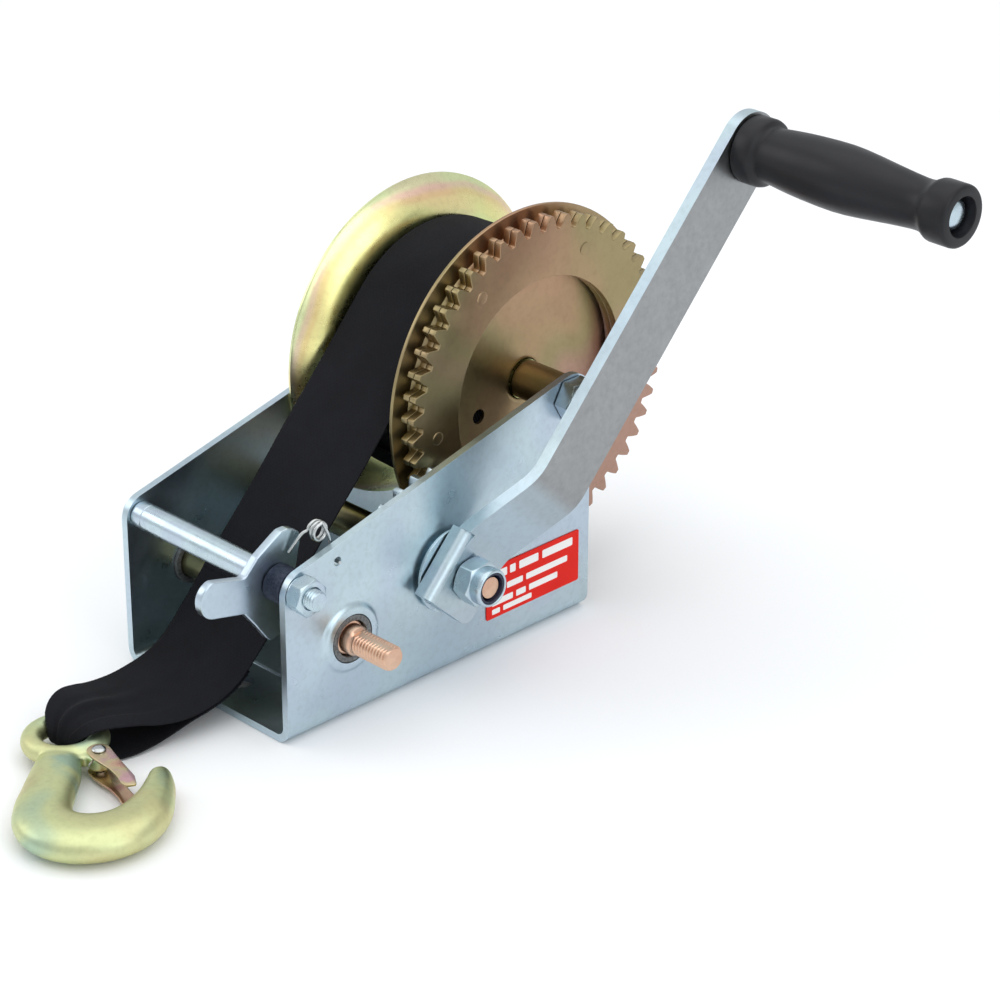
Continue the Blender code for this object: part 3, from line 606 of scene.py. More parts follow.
# ---- folded frame ------------------------------------------------------------------------
def frame_channel():
    half, inner, top, bend = HALF_WIDTH, HALF_WIDTH - PLATE, 115.0, 6.5
    section = [(half, top), (inner, top)]
    section += arc((inner - 3.5, PLATE + 3.5), 3.5, 0.0, -90.0, 8)
    section += arc((-inner + 3.5, PLATE + 3.5), 3.5, -90.0, -180.0, 8)
    section += [(-inner, top), (-half, top)]
    section += arc((-half + bend, bend), bend, 180.0, 270.0, 10)
    section += arc((half - bend, bend), bend, 270.0, 360.0, 10)
    channel = prism("frame_body", section, (FRONT - 10.0, -FRONT + 10.0), ZINC,
                    lambda y, x, z: (x, y, z))
    tangent = 90.0 + TOP_SLOPE_DEG
    outline = [(0.0, -4.0)]
    outline += arc((9.3, 59.8), 9.3, 180.0, tangent, 14)
    outline += arc((146.5, 92.6), 10.5, tangent, 0.0, 18)
    outline += [(FRAME_LENGTH, -4.0)]
    outline = [(y_of(y), z) for y, z in outline]
    channel = combine(channel, prism("cutter", outline, (-60.0, 60.0), GREY), "INTERSECT")
    for at in (LOW, CRANK):
        for sign in (1.0, -1.0):
            rim = [(0.0, 47.5), (11.2, 47.5), (11.9, 47.42), (12.5, 47.2), (13.0, 46.85), (13.4, 46.45),
                   (13.8, 46.2), (14.4, 46.04), (14.9, 45.9), (14.9, 44.2), (0.0, 44.2)]
            rim = [(r, sign * x) for r, x in rim]
            channel = combine(channel, lathe("seat", rim, at, GREY, 88), "UNION")
    ridge = [(-50.2, 2.0), (-49.4, 3.35), (-48.5, 3.6), (-47.6, 3.35), (-46.8, 2.0)]
    channel = combine(channel, prism("ridge", ridge, (-42.0, 42.0), GREY), "UNION")
    bores = [(9.7, -60.0, 60.0, LOW, 80), (9.7, -60.0, 60.0, CRANK, 80), (4.4, -60.0, 60.0, TIE, 40),
             (5.4, -60.0, 60.0, REEL, 40), (1.8, 38.0, 52.0, SPRING_HOLE, 28)]
    for radius, x0, x1, at, steps in bores:
        channel = combine(channel, rod(radius, x0, x1, at, steps), "DIFFERENCE")
    for x, y in MOUNTING_HOLES:
        cutter = rod(MOUNTING_RADIUS, -9.0, 12.0, (0.0, 0.0), 40)
        cutter.data.transform(Matrix(((0, 0, 1, x * MM), (0, 1, 0, y_of(y) * MM), (1, 0, 0, 0),
                                      (0, 0, 0, 1))))
        weld(cutter)
        channel = combine(channel, cutter, "DIFFERENCE")
    weld(channel, 0.01)
    channel.data.set_sharp_from_angle(angle=radians(32.0))
    channel.name = "frame_body"
    soften(channel, 0.45, 2, 40.0)
    place(channel, "frame", "frame_channel")


def washer_ring(name, inner, outer, x0, x1, at, mat, body, node, steps=72, edge=0.3):
    turned(name, box(inner, outer, x0, x1, edge), at, mat, body, node, steps=steps, closed=True)


def frame_hardware():
    frame_channel()
    for label, at in (("low", LOW), ("crank", CRANK)):
        for side, x0, x1 in (("right", 41.5, 47.6), ("left", -47.6, -41.5)):
            washer_ring(label + "_bush_" + side, 7.1, 9.4, x0, x1, at, BUSH, "frame",
                        "bush_" + label + "_" + side, edge=0.35)
    shank = [(0.0, 47.0), (5.0, 47.0), (5.0, -46.0)]
    stations, helix = thread_points(0.0, 9.6, 4.95, 4.2, 1.5)
    shank += [(r, -46.4 - x) for r, x in stations] + [(0.0, -56.0)]

    def axle_reach(angle, r, x):
        return helix(angle, r, -46.4 - x) if x < -46.4 and r > 1.0 else r
    turned("axle_shank", shank, REEL, FASTENER, "frame", "axle_bolt", steps=64, radius=axle_reach)
    head = hex_profile(16.0, 46.4, 53.0, square_low=True)
    turned("axle_head", head, REEL, FASTENER, "frame", "axle_bolt", steps=96, radius=hexagon(16.0))
    nut = hex_profile(16.0, -54.4, -46.4, bore=5.1)
    turned("axle_back_nut", nut, REEL, FASTENER, "frame", "axle_nut", steps=96, closed=True,
           radius=hexagon(16.0))
    washer_ring("axle_tube_right", 5.4, 7.75, 21.7, 42.7, REEL, BRONZE, "frame",
                "axle_spacer_right", edge=0.25)
    washer_ring("axle_tube_left", 5.4, 7.75, -42.7, -33.4, REEL, BRONZE, "frame",
                "axle_spacer_left", edge=0.25)
    stations, helix = thread_points(46.0, 57.2, 3.95, 3.3, 1.25, 0.7)
    bolt = [(0.0, -48.0), (3.2, -47.95), (4.5, -47.7), (5.3, -47.2), (5.6, -46.8), (5.5, -46.4),
            (4.0, -46.4), (4.0, 45.9)] + stations + [(0.0, 57.2)]

    def tie_reach(angle, r, x):
        return helix(angle, r, x) if x >= 46.0 and r > 1.0 else r
    turned("tie_shank", bolt, TIE, FASTENER, "frame", "tie_bolt", steps=72, radius=tie_reach)
    nut = hex_profile(13.0, 47.0, 53.4, bore=4.05)
    turned("tie_hex_nut", nut, TIE, FASTENER, "frame", "tie_nut", steps=96, closed=True,
           radius=hexagon(13.0, radians(12.0)))
    washer_ring("tie_nut_face", 4.2, 6.3, 46.2, 47.3, TIE, FASTENER, "frame", "tie_nut",
                edge=0.2)
    sleeve = [(4.3, -42.7), (5.0, -42.7), (5.2, -42.4), (5.2, -37.6), (5.0, -37.4), (5.0, -37.0),
              (5.2, -36.8), (5.2, 29.8), (5.0, 30.1), (4.3, 30.1)]
    turned("tie_sleeve_tube", sleeve, TIE, FASTENER, "frame", "tie_sleeve", closed=True)
    # The pawl's spacer carries painted shade as a blue-black colour.
    washer_ring("pawl_spacer", 4.3, 7.2, 34.4, 42.7, TIE, DARK_BUSH, "frame", "pawl_bush",
                edge=0.5)


def wire_curve(name, points, radius, mat, sides=5):
    """A round wire on a smooth curve through the points."""
    points = smooth_path(points, 0.45, 3)
    curve = bpy.data.curves.new(name, "CURVE")
    curve.dimensions = "3D"
    curve.bevel_depth = radius * MM
    curve.bevel_resolution = sides
    curve.use_fill_caps = True
    spline = curve.splines.new("POLY")
    spline.points.add(len(points) - 1)
    for point, co in zip(spline.points, points):
        point.co = (co[0] * MM, co[1] * MM, co[2] * MM, 1.0)
    obj = new_object(name, curve)
    return evaluated(obj, name, mat, 60.0)


def pawl_wire():
    """The torsion spring above the plate's edge, from the pawl's back to its hole in the plate."""
    turns, radius = 2.25, 3.4
    at = (y_of(22.3), 78.2)
    path = [(35.3, y_of(11.6), 71.6), (36.0, y_of(14.0), 74.6), (36.8, y_of(16.9), 77.8)]
    steps = 56
    for step in range(steps + 1):
        share = step / steps
        turn = radians(170.0 - 360.0 * turns * share)
        path.append((37.6 + 3.9 * share, at[0] + radius * cos(turn),
                     at[1] + radius * sin(turn)))
    path += [(41.7, y_of(25.8), 74.6), (41.9, y_of(25.7), 69.4), (42.4, y_of(25.6), 67.4),
             (44.0, y_of(25.6), 66.9), (47.2, y_of(25.6), 66.9)]
    place(wire_curve("pawl_spring_wire", path, 0.6, SPRING), "frame", "pawl_spring")


def label_plate():
    y0, y1, z0, z1 = y_of(100.8), y_of(151.2), 14.2, 36.2
    place(plate("label_film", [box(y0, y1, z0, z1, 1.0, 5)], 46.06, 46.34, (0.0, 0.0), RED, 0.06),
          "frame", "label")
    rows = [(30.6, 3.4, [(3.0, 11.0), (12.6, 15.6), (17.6, 28.0), (30.2, 46.8)]),
            (24.6, 2.6, [(3.0, 9.4), (11.0, 19.6), (21.4, 44.0)]),
            (19.4, 2.6, [(3.0, 14.2), (16.0, 21.2), (23.0, 38.6)]),
            (15.8, 2.2, [(3.0, 7.2), (9.0, 24.4)])]
    verts, faces = [], []
    for z, height, bars in rows:
        for start, end in bars:
            outline = box(y0 + start, y0 + end, z, z + height, 0.5)
            faces += tube_faces(len(outline), 2, len(verts))
            verts += [(x, *point) for x in (46.30, 46.38) for point in outline]
    place(solid("label_bars", verts, faces, WHITE_INK), "frame")


# ---- reel --------------------------------------------------------------------------------
def reel():
    dish = [(65.9, -40.3), (65.9, -41.2), (65.3, -41.9), (64.5, -42.0), (63.7, -41.4), (62.4, -40.1),
            (60.2, -38.0), (57.6, -36.0), (55.4, -34.6), (53.2, -33.5), (51.4, -33.0), (49.6, -32.8),
            (8.4, -32.8), (8.4, -31.2), (50.0, -31.2), (52.2, -31.4), (54.2, -32.0), (56.6, -33.1),
            (58.8, -34.5), (61.4, -36.6), (63.8, -38.9), (65.2, -40.0)]
    turned("left_flange", dish, REEL, YELLOW, "reel", "flange_left", steps=160, closed=True)
    disc = [(69.8, 20.6), (69.55, 20.9), (62.5, 20.9), (61.9, 21.05), (60.9, 22.6), (60.1, 23.25),
            (59.4, 23.3), (47.8, 23.3), (46.9, 23.2), (46.2, 22.6), (45.2, 21.1), (44.4, 20.9),
            (11.0, 20.9), (10.2, 21.1), (9.0, 21.1), (8.4, 20.8), (8.4, 19.4), (44.9, 19.4),
            (45.7, 19.6), (46.4, 20.3), (47.3, 21.6), (48.2, 21.8), (59.2, 21.8), (60.0, 21.6),
            (61.2, 19.6), (61.9, 19.4), (69.55, 19.4), (69.8, 19.7)]
    flange = lathe("right_flange", disc, REEL, BRONZE, 160, closed=True)
    angle = radians(199.0)
    hole = (REEL[0] + 25.9 * cos(angle), REEL[1] + 25.9 * sin(angle))
    flange = combine(flange, rod(3.0, 15.0, 25.0, hole, 40), "DIFFERENCE")
    soften(flange, 0.2, 2, 50.0)
    place(flange, "reel", "flange_right")
    phase = towards(REEL, CRANK) + pi / REEL_TEETH
    for name, x0, x1, node in (("gear_ring_inner", 23.6, 26.7, "gear_plate_inner"),
                               ("gear_ring_outer", 27.0, 30.1, "gear_plate_outer")):
        outline = gear_outline(REEL_TEETH, MODULE, phase)
        ring = plate(name, [outline, circle(43.7, 128)], x0, x1, REEL, BRONZE, 0.28)
        place(ring, "reel", node)
    for index in range(6):
        turn = radians(65.0 + 60.0 * index)
        spot = (REEL[0] + 55.0 * cos(turn), REEL[1] + 55.0 * sin(turn))
        stud = [(0.0, 30.32), (2.0, 30.32), (2.5, 30.22), (2.7, 30.05), (2.8, 29.7), (0.0, 29.6)]
        button = lathe("gear_button_%d" % index, stud, spot, BRONZE, 40)
        place(button, "reel")


def spiral_strap():
    """The wound strap: one long band from the core to the outside, one layer on the next."""
    per_turn = 44
    pitch = (COIL_OUTER - COIL_INNER) / COIL_TURNS
    thick = pitch * 0.86
    rings, uvs = [], []
    along = 0.0
    for step in range(COIL_TURNS * per_turn + 1):
        angle = radians(130.0) + 2.0 * pi * step / per_turn
        r = COIL_INNER + pitch * step / per_turn
        wander = 0.35 * noise.noise(Vector((step * 0.011, 3.1, 0.0)))
        along += 2.0 * pi * r / per_turn
        ring = []
        for x, lift in band_section(HALF_STRAP, thick):
            reach = r + lift
            ring.append((COIL_MIDDLE + x + wander, REEL[0] + reach * cos(angle),
                         REEL[1] + reach * sin(angle)))
            uvs.append((x, along))
        rings.append(ring)
    coil = skin("wound_strap", rings, WEBBING, 50.0, uvs)
    place(coil, "reel", "strap_coil")


def band_section(half, thick, across=10):
    """A strap's section, one closed ring of (across, up) points with rounded edges."""
    top = [(half * (-1.0 + 2.0 * i / across), 0.5 * thick) for i in range(across + 1)]
    edge = 0.35 * thick
    top = [(-half + 0.05, 0.25 * thick)] + [(x * (half - edge) / half, z) for x, z in top]
    top += [(half - 0.05, 0.25 * thick)]
    return top + [(-x, -z) for x, z in top]


# ---- shafts and pinions ------------------------------------------------------------------
def double_d(flat, turn):
    """Cuts two flats across a round bar."""
    def reach(angle, r):
        across = abs(cos(angle - turn))
        return min(r, flat / across) if across > 0.05 else r
    return reach


def shafts():
    for label, body, at, start, end, turn in (
            ("crank", "crank", CRANK, 52.0, 69.0, ARM_ANGLE),
            ("low", "low_shaft", LOW, 51.4, 69.6, radians(100.0))):
        stations, helix = thread_points(start, end, 4.95, 4.15, 1.5, 0.9)
        flats = double_d(4.15, turn)
        left = [(0.0, -51.2), (6.3, -51.2), (6.6, -50.9), (6.6, -49.4), (5.7, -49.4), (5.7, -48.0),
                (6.8, -48.0)]
        neck = [(6.8, 45.6), (6.5, 46.1), (5.75, 46.3), (5.75, 50.2), (5.5, 50.7), (4.95, 51.2)]
        profile = left + neck + stations + [(0.0, end)]

        def reach(angle, r, x, helix=helix, flats=flats, start=start):
            if x < 51.0 or r < 1.0:
                return r
            return flats(angle, helix(angle, r, x) if x >= start else r)
        turned(label + "_bar", profile, at, COPPER, body, label + "_shaft",
               steps=96, radius=reach, smooth=38.0)
        washer_ring(label + "_ring_clip", 5.9, 10.2, -49.2, -48.2, at, SPRING, body, label + "_clip",
                    edge=0.2)
    mesh_angle = towards(REEL, CRANK)
    low_angle = towards(CRANK, LOW)
    gears = (("first_pinion", PINION_TEETH, MODULE, mesh_angle + pi, 22.3, 31.2, CRANK, "crank",
              OLIVE, "drive_pinion"),
             ("middle_gear", MID_TEETH, LOW_MODULE, low_angle + pi / MID_TEETH, 33.0, 39.6, CRANK,
              "crank", FASTENER, "mid_gear"),
             ("second_pinion", PINION_TEETH, LOW_MODULE, low_angle + pi, 29.6, 40.6, LOW,
              "low_shaft", OLIVE, "low_pinion"))
    for name, teeth, module, phase, x0, x1, at, body, mat, node in gears:
        gear = plate(name, [gear_outline(teeth, module, phase), circle(7.1, 64)], x0, x1, at, mat, 0.4)
        place(gear, body, node)


# ---- crank handle ------------------------------------------------------------------------
def crank_handle():
    """Made flat in the arm's own frame, with along running from the shaft to the grip, then turned."""
    turn = Matrix.Rotation(ARM_ANGLE, 4, "X")
    turn.translation = (0.0, CRANK[0] * MM, CRANK[1] * MM)
    hub, top, thick = 52.5, 70.5, 5.0
    inner = [(-15.5, hub), (14.0, hub), (44.0, top), (206.2, top)]
    outer = [(206.2, top + thick), (42.6, top + thick), (12.6, hub + thick), (-15.5, hub + thick)]
    side = fillet(inner, 17.0, count=9) + fillet(outer, 22.0, count=9)
    arm = prism("handle_arm", side, (-20.0, 20.0), ARM, lambda across, along, x: (x, along, across))
    plan = [(-15.5, 10.2), (14.0, 10.2), (14.0, 13.8)]
    plan += arc((ARM_LENGTH + 0.4, 0.0), 13.8, 90.0, -90.0, 40)
    plan += arc((-11.0, -9.3), 4.5, 270.0, 180.0, 8)
    arm = combine(arm, prism("cutter", plan, (40.0, 90.0), GREY), "INTERSECT")
    lip = [(13.7, 49.9)] + arc((9.9, 53.6), 3.8, 0.0, 90.0, 10) + [(8.9, 57.4), (8.9, 49.9)]
    lip = prism("lip", lip, (-15.4, 14.0), GREY, lambda along, across, x: (x, along, across))
    arm = combine(arm, lip, "UNION")
    for along, radius in ((0.0, 5.2), (ARM_LENGTH, 4.3)):
        arm = combine(arm, rod(radius, 40.0, 90.0, (along, 0.0), 48), "DIFFERENCE")
    weld(arm, 0.01)
    arm.data.set_sharp_from_angle(angle=radians(30.0))
    arm.name = "handle_arm"
    arm.data.transform(turn)
    soften(arm, 0.6, 3, 38.0)
    place(arm, "crank", "crank_arm")

    washer_ring("hub_washer", 5.2, 17.0, 48.0, 49.2, CRANK, FASTENER, "crank",
                "crank_washer", 96)
    washer_ring("hub_collar", 5.2, 8.3, 49.5, 52.2, CRANK, FASTENER, "crank",
                "crank_collar")
    nut = hex_profile(16.0, 57.9, 65.6, bore=5.15)
    turned("lock_nut_hex", nut, CRANK, FASTENER, "crank", "crank_nut", steps=120, closed=True,
           radius=hexagon(16.0, radians(8.0)))
    collar = [(5.5, 65.0), (7.4, 65.0), (7.55, 66.0), (7.55, 68.9), (7.4, 69.8), (7.0, 70.4),
              (6.5, 70.55), (6.2, 70.3), (6.15, 69.9), (6.15, 65.4)]
    turned("lock_nut_collar", collar, CRANK, FASTENER, "crank", "crank_nut", steps=96, closed=True,
           smooth=60.0)
    washer_ring("lock_nut_insert", 5.2, 6.1, 66.4, 70.1, CRANK, NYLON, "crank", "nut_ring", edge=0.35)

    bolt = [(0.0, 173.0), (3.2, 172.9), (5.0, 172.4), (6.0, 171.4), (6.25, 170.4), (6.25, 167.5),
            (4.0, 167.4), (4.0, 69.6), (3.9, 67.4), (3.2, 66.5), (0.0, 66.4)]
    turned("grip_rivet", bolt, GRIP, FASTENER, "crank", "grip_bolt", steps=72)


def grip():
    outer = [(7.8, 175.4), (10.7, 175.4), (11.4, 175.1), (11.85, 174.5), (12.0, 173.6), (12.0, 165.6),
             (11.8, 164.6), (11.2, 163.4), (10.4, 162.2), (9.9, 160.6), (9.65, 158.6), (9.7, 155.6),
             (10.1, 150.6), (10.65, 145.0), (11.3, 139.0), (12.0, 132.6), (12.6, 126.0),
             (12.85, 120.4), (12.75, 113.6), (12.4, 106.0), (12.0, 99.8), (11.5, 94.6), (11.0, 90.0),
             (10.6, 87.2), (10.6, 86.0), (11.2, 85.2), (12.2, 84.6), (12.9, 83.9), (13.2, 82.8),
             (13.2, 76.8), (12.9, 76.2), (12.4, 76.0), (4.4, 76.0), (4.4, 167.0), (7.4, 167.0),
             (7.5, 174.8)]
    turned("turned_grip", outer, GRIP, PLASTIC, "grip", "grip", steps=120, closed=True,
           smooth=40.0)


# ---- pawl --------------------------------------------------------------------------------
def pawl():
    """One flat plate: a rounded finger to the front, a thumb tab on top and the tooth below."""
    rest = arc((-21.3, 63.8), 7.4, 100.0, 260.0, 14)
    rest += [(-8.7, 53.3), (-3.6, 46.8), (1.2, 40.2), (3.4, 38.0), (11.9, 40.3), (13.3, 41.6),
             (14.4, 47.0), (15.4, 56.0), (16.0, 63.0), (17.4, 69.0), (18.8, 74.6), (18.0, 77.4),
             (15.6, 79.3), (12.9, 80.2), (9.6, 80.2), (7.2, 79.0), (-2.0, 73.6), (-8.2, 67.4)]
    outline = [(y_of(y) - TIE[0], z - TIE[1]) for y, z in rest]
    outline = fillet(outline, 2.6, closed=True, count=4, least_turn=12.0)
    place(plate("pawl_plate", [outline, circle(4.3, 48)], 30.4, 34.0, TIE, ZINC, 0.55, 4),
          "pawl", "pawl")


# ---- strap from the drum to the hook -----------------------------------------------------
def tangent_normal(c1, r1, c2, r2):
    base = atan2(c2[1] - c1[1], c2[0] - c1[0])
    return base - acos((r1 - r2) / dist(c1, c2))


def beside(points, index):
    """The points before and after one on a path, or itself at an end."""
    return points[max(0, index - 1)], points[min(len(points) - 1, index + 1)]


def smooth_path(points, spacing, axes=2):
    """Even steps along a Catmull-Rom curve through the points, measured on their first axes."""
    dense = []
    for index in range(len(points) - 1):
        p0, p2 = beside(points, index)
        p1, p3 = beside(points, index + 1)
        for step in range(24):
            t = step / 24.0
            dense.append([0.5 * (2 * b + (c - a) * t + (2 * a - 5 * b + 4 * c - d) * t * t
                                 + (3 * b - a - 3 * c + d) * t ** 3)
                          for a, b, c, d in zip(p0, p1, p2, p3)])
    dense.append(list(points[-1]))
    made, carried = [dense[0]], 0.0
    for a, b in zip(dense, dense[1:]):
        length = dist(a[:axes], b[:axes])
        while carried + length >= spacing:
            share = (spacing - carried) / length
            a = [p + (q - p) * share for p, q in zip(a, b)]
            made.append(a)
            length = dist(a[:axes], b[:axes])
            carried = 0.0
        carried += length
    made.append(dense[-1])
    return made


def strap_route():
    """(y, z, middle x, half width, bunching) from the drum to the hook's eye and back under."""
    gap = 0.5 * STRAP_THICK + 0.45
    r_coil, r_shaft = 50.5 + gap, 6.8 + gap
    normal = degrees(tangent_normal(REEL, r_coil, LOW, r_shaft)) % 360.0
    route = [(y, z, COIL_MIDDLE, HALF_STRAP, 0.0)
             for y, z in arc(REEL, r_coil, normal - 285.0, normal, 40)]
    over = arc(LOW, r_shaft, normal, normal + 12.0, 2)
    first, last = route[-1], over[0]
    for step in range(1, 8):
        share = step / 8.0
        sag = -1.4 * sin(pi * share)
        route.append((first[0] + (last[0] - first[0]) * share + 0.3 * sag,
                      first[1] + (last[1] - first[1]) * share + 0.7 * sag,
                      COIL_MIDDLE + 0.2 * share, HALF_STRAP, 0.0))
    route += [(y, z, -5.5, HALF_STRAP, 0.0) for y, z in over]
    tail = [(12.0, 24.5, -5.8, 24.3, 0.0), (3.0, 15.8, -6.2, 24.3, 0.0), (-6.0, 11.4, -6.3, 24.3, 0.05),
            (-18.0, 9.4, -6.3, 24.2, 0.1), (-26.0, 9.2, -6.6, 23.6, 0.2), (-34.0, 10.2, -6.9, 22.4, 0.35),
            (-41.0, 12.0, -7.2, 21.0, 0.5), (-47.0, 13.4, -7.2, 19.6, 0.6), (-52.0, 13.9, -7.2, 17.4, 0.7),
            (-56.5, 13.4, -7.1, 14.6, 0.8), (-60.2, 11.4, -6.9, 11.4, 0.8), (-62.2, 8.6, -6.4, 7.8, 0.7),
            (-62.6, 5.6, -6.2, 7.2, 0.5), (-61.2, 2.9, -6.2, 7.6, 0.3), (-57.5, 1.4, -6.2, 12.0, 0.15),
            (-52.0, 1.1, -6.2, 17.0, 0.1), (-45.0, 1.2, -6.2, 19.5, 0.08), (-37.0, 2.0, -6.2, 20.5, 0.05),
            (-29.0, 3.8, -6.2, 21.5, 0.0), (-21.0, 6.4, -6.2, 23.0, 0.0), (-13.0, 8.1, -6.2, 23.8, 0.0),
            (-6.0, 9.8, -6.1, 24.0, 0.0), (1.0, 12.8, -6.0, 24.0, 0.0), (7.0, 17.3, -6.0, 24.0, 0.0)]
    route += [(y_of(y), z, middle, half, bunch) for y, z, middle, half, bunch in tail]
    return route


def free_strap():
    """The loose length: off the drum, over the low shaft, under the tie bolt, through the eye."""
    points = smooth_path(strap_route(), 0.9)
    rings, uvs = [], []
    along = 0.0
    for index, (y, z, middle, half, bunch) in enumerate(points):
        before, after = beside(points, index)
        dy, dz = after[0] - before[0], after[1] - before[1]
        length = hypot(dy, dz) or 1.0
        up = (-dz / length, dy / length)
        if index:
            along += dist((y, z), points[index - 1][:2])
        loose = min(1.0, max(0.0, (along - 262.0) / 60.0)) * min(1.0, max(0.0, (z - 1.2) / 5.0))
        ring = []
        for side, lift in band_section(1.0, STRAP_THICK, 26):
            scallop = 0.16 * abs(sin(pi * along / 2.1)) if abs(side) > 0.9 else 0.0
            across = side * (half + scallop)
            wave = bunch * (1.1 * cos(side * 8.2 + 0.6) + 0.5 * cos(side * 15.0 + 1.9))
            soft = 0.5 * loose * noise.noise(Vector((across * 0.06, along * 0.035, 1.7)))
            rise = lift + 0.9 * (wave + 0.8 * bunch) + soft
            ring.append((middle + across, y - up[0] * rise, z - up[1] * rise))
            uvs.append((side * HALF_STRAP, along))
        rings.append(ring)
    strap = skin("loose_strap", rings, WEBBING, 50.0, uvs)
    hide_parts("strap_tail")
    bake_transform(strap)


# ---- hook --------------------------------------------------------------------------------
def upright(u=0.0, v=0.0):
    """Turns a piece made along X to stand along Z at (u, v)."""
    return Matrix(((0, 1, 0, u * MM), (0, 0, 1, v * MM), (1, 0, 0, 0), (0, 0, 0, 1)))


def place_in_hook(obj, body, node, at=(0.0, 0.0)):
    """Moves a piece made about the point at, in the hook's own flat frame, to its place."""
    matrix = Matrix.Rotation(HOOK_TURN, 4, "Z")
    matrix.translation = Vector((*HOOK_EYE, HOOK_HEIGHT)) * MM
    obj.data.transform(Matrix.Translation(Vector((*at, 0.0)) * MM))
    obj.data.transform(matrix)
    place(obj, body, node)


def hook_forging():
    """Lofted shank and bowl with a ring eye, fused and smoothed as one forging."""
    stations = [(34.2, 26.0, 1.8, 2.2), (36.2, 25.9, 3.8, 4.2), (40.5, 25.0, 4.9, 5.2),
                (45.5, 23.4, 6.0, 5.8), (50.5, 21.2, 6.8, 6.1), (57.0, 17.6, 8.4, 6.3),
                (63.2, 12.6, 9.8, 6.4), (68.0, 5.6, 11.0, 6.5), (69.6, -2.2, 11.8, 6.5),
                (67.8, -10.6, 12.3, 6.5), (62.6, -16.8, 12.2, 6.4), (54.6, -19.6, 11.4, 6.3),
                (45.5, -18.2, 10.4, 6.1), (36.0, -14.2, 9.9, 5.7), (26.5, -10.0, 9.6, 5.2),
                (18.0, -6.8, 8.6, 4.4), (11.5, -4.6, 7.0, 3.5)]
    fine = smooth_path(stations, 1.5)
    sides = 32
    rings = []
    for index, (u, v, width, depth) in enumerate(fine):
        before, after = beside(fine, index)
        heading = atan2(after[1] - before[1], after[0] - before[0])
        ring = []
        for side in range(sides):
            angle = 2.0 * pi * side / sides
            c, s = cos(angle), sin(angle)
            off = width * copysign(abs(c) ** 0.86, c)
            ring.append((u - off * sin(heading), v + off * cos(heading),
                         depth * copysign(abs(s) ** 0.92, s)))
        rings.append(ring)
    body = skin("hook_forging", rings, FORGED, 60.0)
    around, sides = 96, 28
    verts, faces = [], []
    for i in range(around):
        a = 2.0 * pi * i / around
        for j in range(sides):
            b = 2.0 * pi * j / sides
            r = EYE_RING + EYE_BAR * cos(b)
            verts.append((r * cos(a), r * sin(a), EYE_BAR * sin(b)))
            faces.append((i * sides + j, ((i + 1) % around) * sides + j,
                          ((i + 1) % around) * sides + (j + 1) % sides, i * sides + (j + 1) % sides))
    ring = solid("ring", verts, faces, GREY)
    body = combine(body, ring, "UNION")
    lug = rod(3.9, -2.6, 2.6, (0.0, 0.0), 40)
    lug.data.transform(upright(*LATCH_PIN))
    body = combine(body, lug, "UNION")
    web = [(9.5, 0.6), (18.5, 0.6), (18.5, 8.6), (9.5, 8.6)]
    body = combine(body, plate("lug_web", [web], -2.3, 2.3, (0.0, 0.0), GREY, 0.3, 2,
                               Matrix.Identity(4)), "UNION")
    body.name = "hook_forging"
    remesh = body.modifiers.new("fuse", "REMESH")
    remesh.mode = "VOXEL"
    remesh.voxel_size = 0.62 * MM
    relax = body.modifiers.new("relax", "SMOOTH")
    relax.factor = 0.6
    relax.iterations = 14
    body = evaluated(body, "hook_forging_made", FORGED, 75.0)
    body.name = "hook_forging"
    place_in_hook(body, "hook", "hook")


def latch_parts():
    cheek = arc((0.0, 0.0), 4.4, 96.0, 262.0, 18)
    cheek += [(4.6, -3.4), (9.0, -1.6), (14.0, 0.6), (20.0, 1.9), (24.5, 2.2), (27.2, 3.2),
              (27.5, 7.2), (21.5, 7.9), (8.5, 5.6)]
    cheek = fillet(cheek, 1.2, closed=True, count=3, least_turn=20.0)
    sides = []
    for z in (4.3, -4.3):
        sides.append(plate("latch_side", [cheek, circle(1.7, 28)], -0.45, 0.45, (0, 0), LATCH, 0.22, 2,
                           Matrix.Translation((0.0, 0.0, z * MM))))
    bridge = [(27.5, 7.3), (21.5, 8.1), (8.5, 5.8), (8.2, 4.9), (21.5, 7.0), (26.7, 6.2), (26.6, 2.8),
              (27.4, 3.2)]
    back = plate("latch_back", [fillet(bridge, 0.5, closed=True)], -4.6, 4.6, (0, 0), LATCH, 0.2, 2,
                 Matrix.Identity(4))
    made = combine(combine(sides[0], sides[1], "UNION"), back, "UNION")
    made.name = "latch_channel"
    weld(made)
    place_in_hook(made, "latch", "latch", LATCH_PIN)
    rivet = [(0.0, 5.9), (1.3, 5.85), (2.2, 5.6), (2.6, 5.2), (2.6, 4.9), (1.45, 4.85), (1.45, -4.85),
             (2.6, -4.9), (2.6, -5.2), (2.2, -5.6), (1.3, -5.85), (0.0, -5.9)]
    made = lathe("latch_rivet", rivet, (0.0, 0.0), SPRING, 48)
    made.data.transform(upright())
    place_in_hook(made, "hook", "latch_pin", LATCH_PIN)
    path = [(7.4, -5.4, 3.2), (5.4, -4.2, 3.15), (3.4, -2.6, 3.1)]
    for step in range(41):
        turn = radians(-40.0 + 810.0 * step / 40.0)
        path.append((2.5 * cos(turn), 2.5 * sin(turn), 3.1 - 0.55 * step / 40.0))
    path += [(2.0, 3.6, 2.4), (8.0, 4.6, 2.4), (14.0, 5.4, 2.4)]
    made = wire_curve("latch_spring_wire", path, 0.38, SPRING)
    place_in_hook(made, "hook", "latch_spring", LATCH_PIN)


# ---- nodes that stay as the CAD made them --------------------------------------------------
def carried_over():
    for node, mat in (("drum_sleeve", YELLOW), ("drum_core", YELLOW)):
        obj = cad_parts[node]
        obj.data.materials.clear()
        obj.data.materials.append(mat)


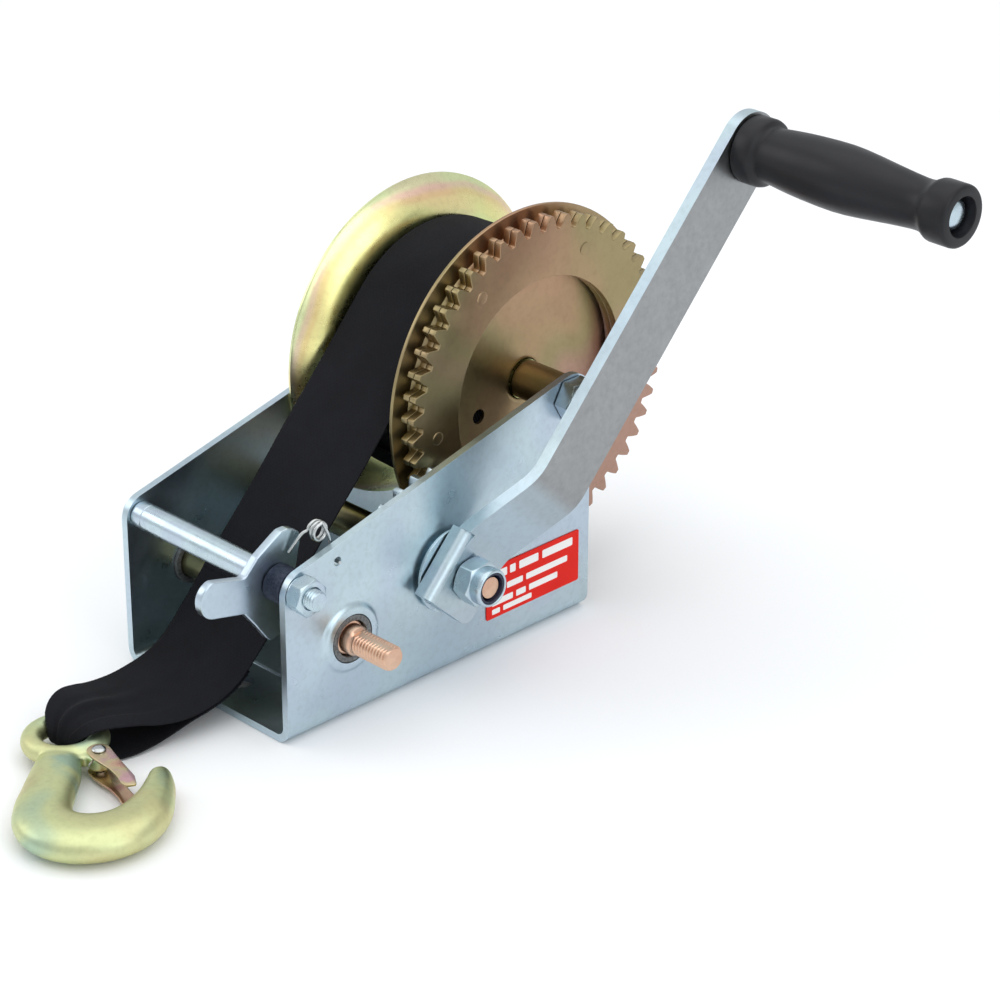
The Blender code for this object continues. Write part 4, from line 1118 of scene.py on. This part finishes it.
# ---- floor, light and camera ---------------------------------------------------------------
def floor():
    mesh = bpy.data.meshes.new("floor")
    mesh.from_pydata([(-6, -6, 0), (6, -6, 0), (6, 6, 0), (-6, 6, 0)], [], [(0, 1, 2, 3)])
    m = Nodes("white_floor")
    cloud = m.noise(3.0, 2.0, 0.5)
    m.set(Base_Color=m.ramp(cloud, [(0.3, (0.90, 0.91, 0.93)), (0.7, (0.92, 0.93, 0.94))]),
          Roughness=0.6, Specular_IOR_Level=0.2)
    made = link("floor", mesh, m.mat)
    made.location.z = -0.0002


def softbox(name, at, aim, size, power, colour):
    light = bpy.data.lights.new(name, "AREA")
    light.shape = "RECTANGLE"
    light.size, light.size_y = size
    light.energy = power
    light.color = colour
    obj = new_object(name, light)
    obj.location = at
    obj.rotation_mode = "QUATERNION"
    obj.rotation_quaternion = (Vector(aim) - Vector(at)).to_track_quat("-Z", "Y")
    return obj


def studio():
    world = bpy.data.worlds.new("studio")
    bpy.context.scene.world = world
    world.use_nodes = True
    background = world.node_tree.nodes["Background"]
    background.inputs["Color"].default_value = (0.96, 0.98, 1.0, 1.0)
    background.inputs["Strength"].default_value = 0.78
    softbox("overhead", (0.1, 0.1, 2.0), (0.0, 0.0, 0.05), (3.0, 3.0), 24.0, (1.0, 0.99, 0.97))
    softbox("right_window", (1.6, -0.1, 0.9), (0.0, 0.0, 0.08), (1.2, 1.2), 6.0, (0.94, 0.97, 1.0))
    softbox("left_window", (-1.3, -0.9, 1.0), (0.0, 0.0, 0.08), (0.9, 0.9), 4.0, (1.0, 0.98, 0.96))
    bpy.context.scene.view_settings.view_transform = "Standard"


def camera():
    data = bpy.data.cameras.new("camera")
    data.lens = CAMERA_LENS
    data.sensor_width = CAMERA_SENSOR
    data.clip_start, data.clip_end = 0.05, 20.0
    obj = new_object("camera", data)
    obj.location = Vector(CAMERA_AT) * MM
    obj.rotation_mode = "QUATERNION"
    level = Vector(CAMERA_FORWARD).to_track_quat("-Z", "Y")
    obj.rotation_quaternion = level @ Matrix.Rotation(radians(CAMERA_ROLL_DEG), 3, "Z").to_quaternion()
    bpy.context.scene.camera = obj


frame_hardware()
pawl_wire()
label_plate()
reel()
spiral_strap()
shafts()
crank_handle()
grip()
pawl()
free_strap()
hook_forging()
latch_parts()
carried_over()
floor()
studio()
camera()
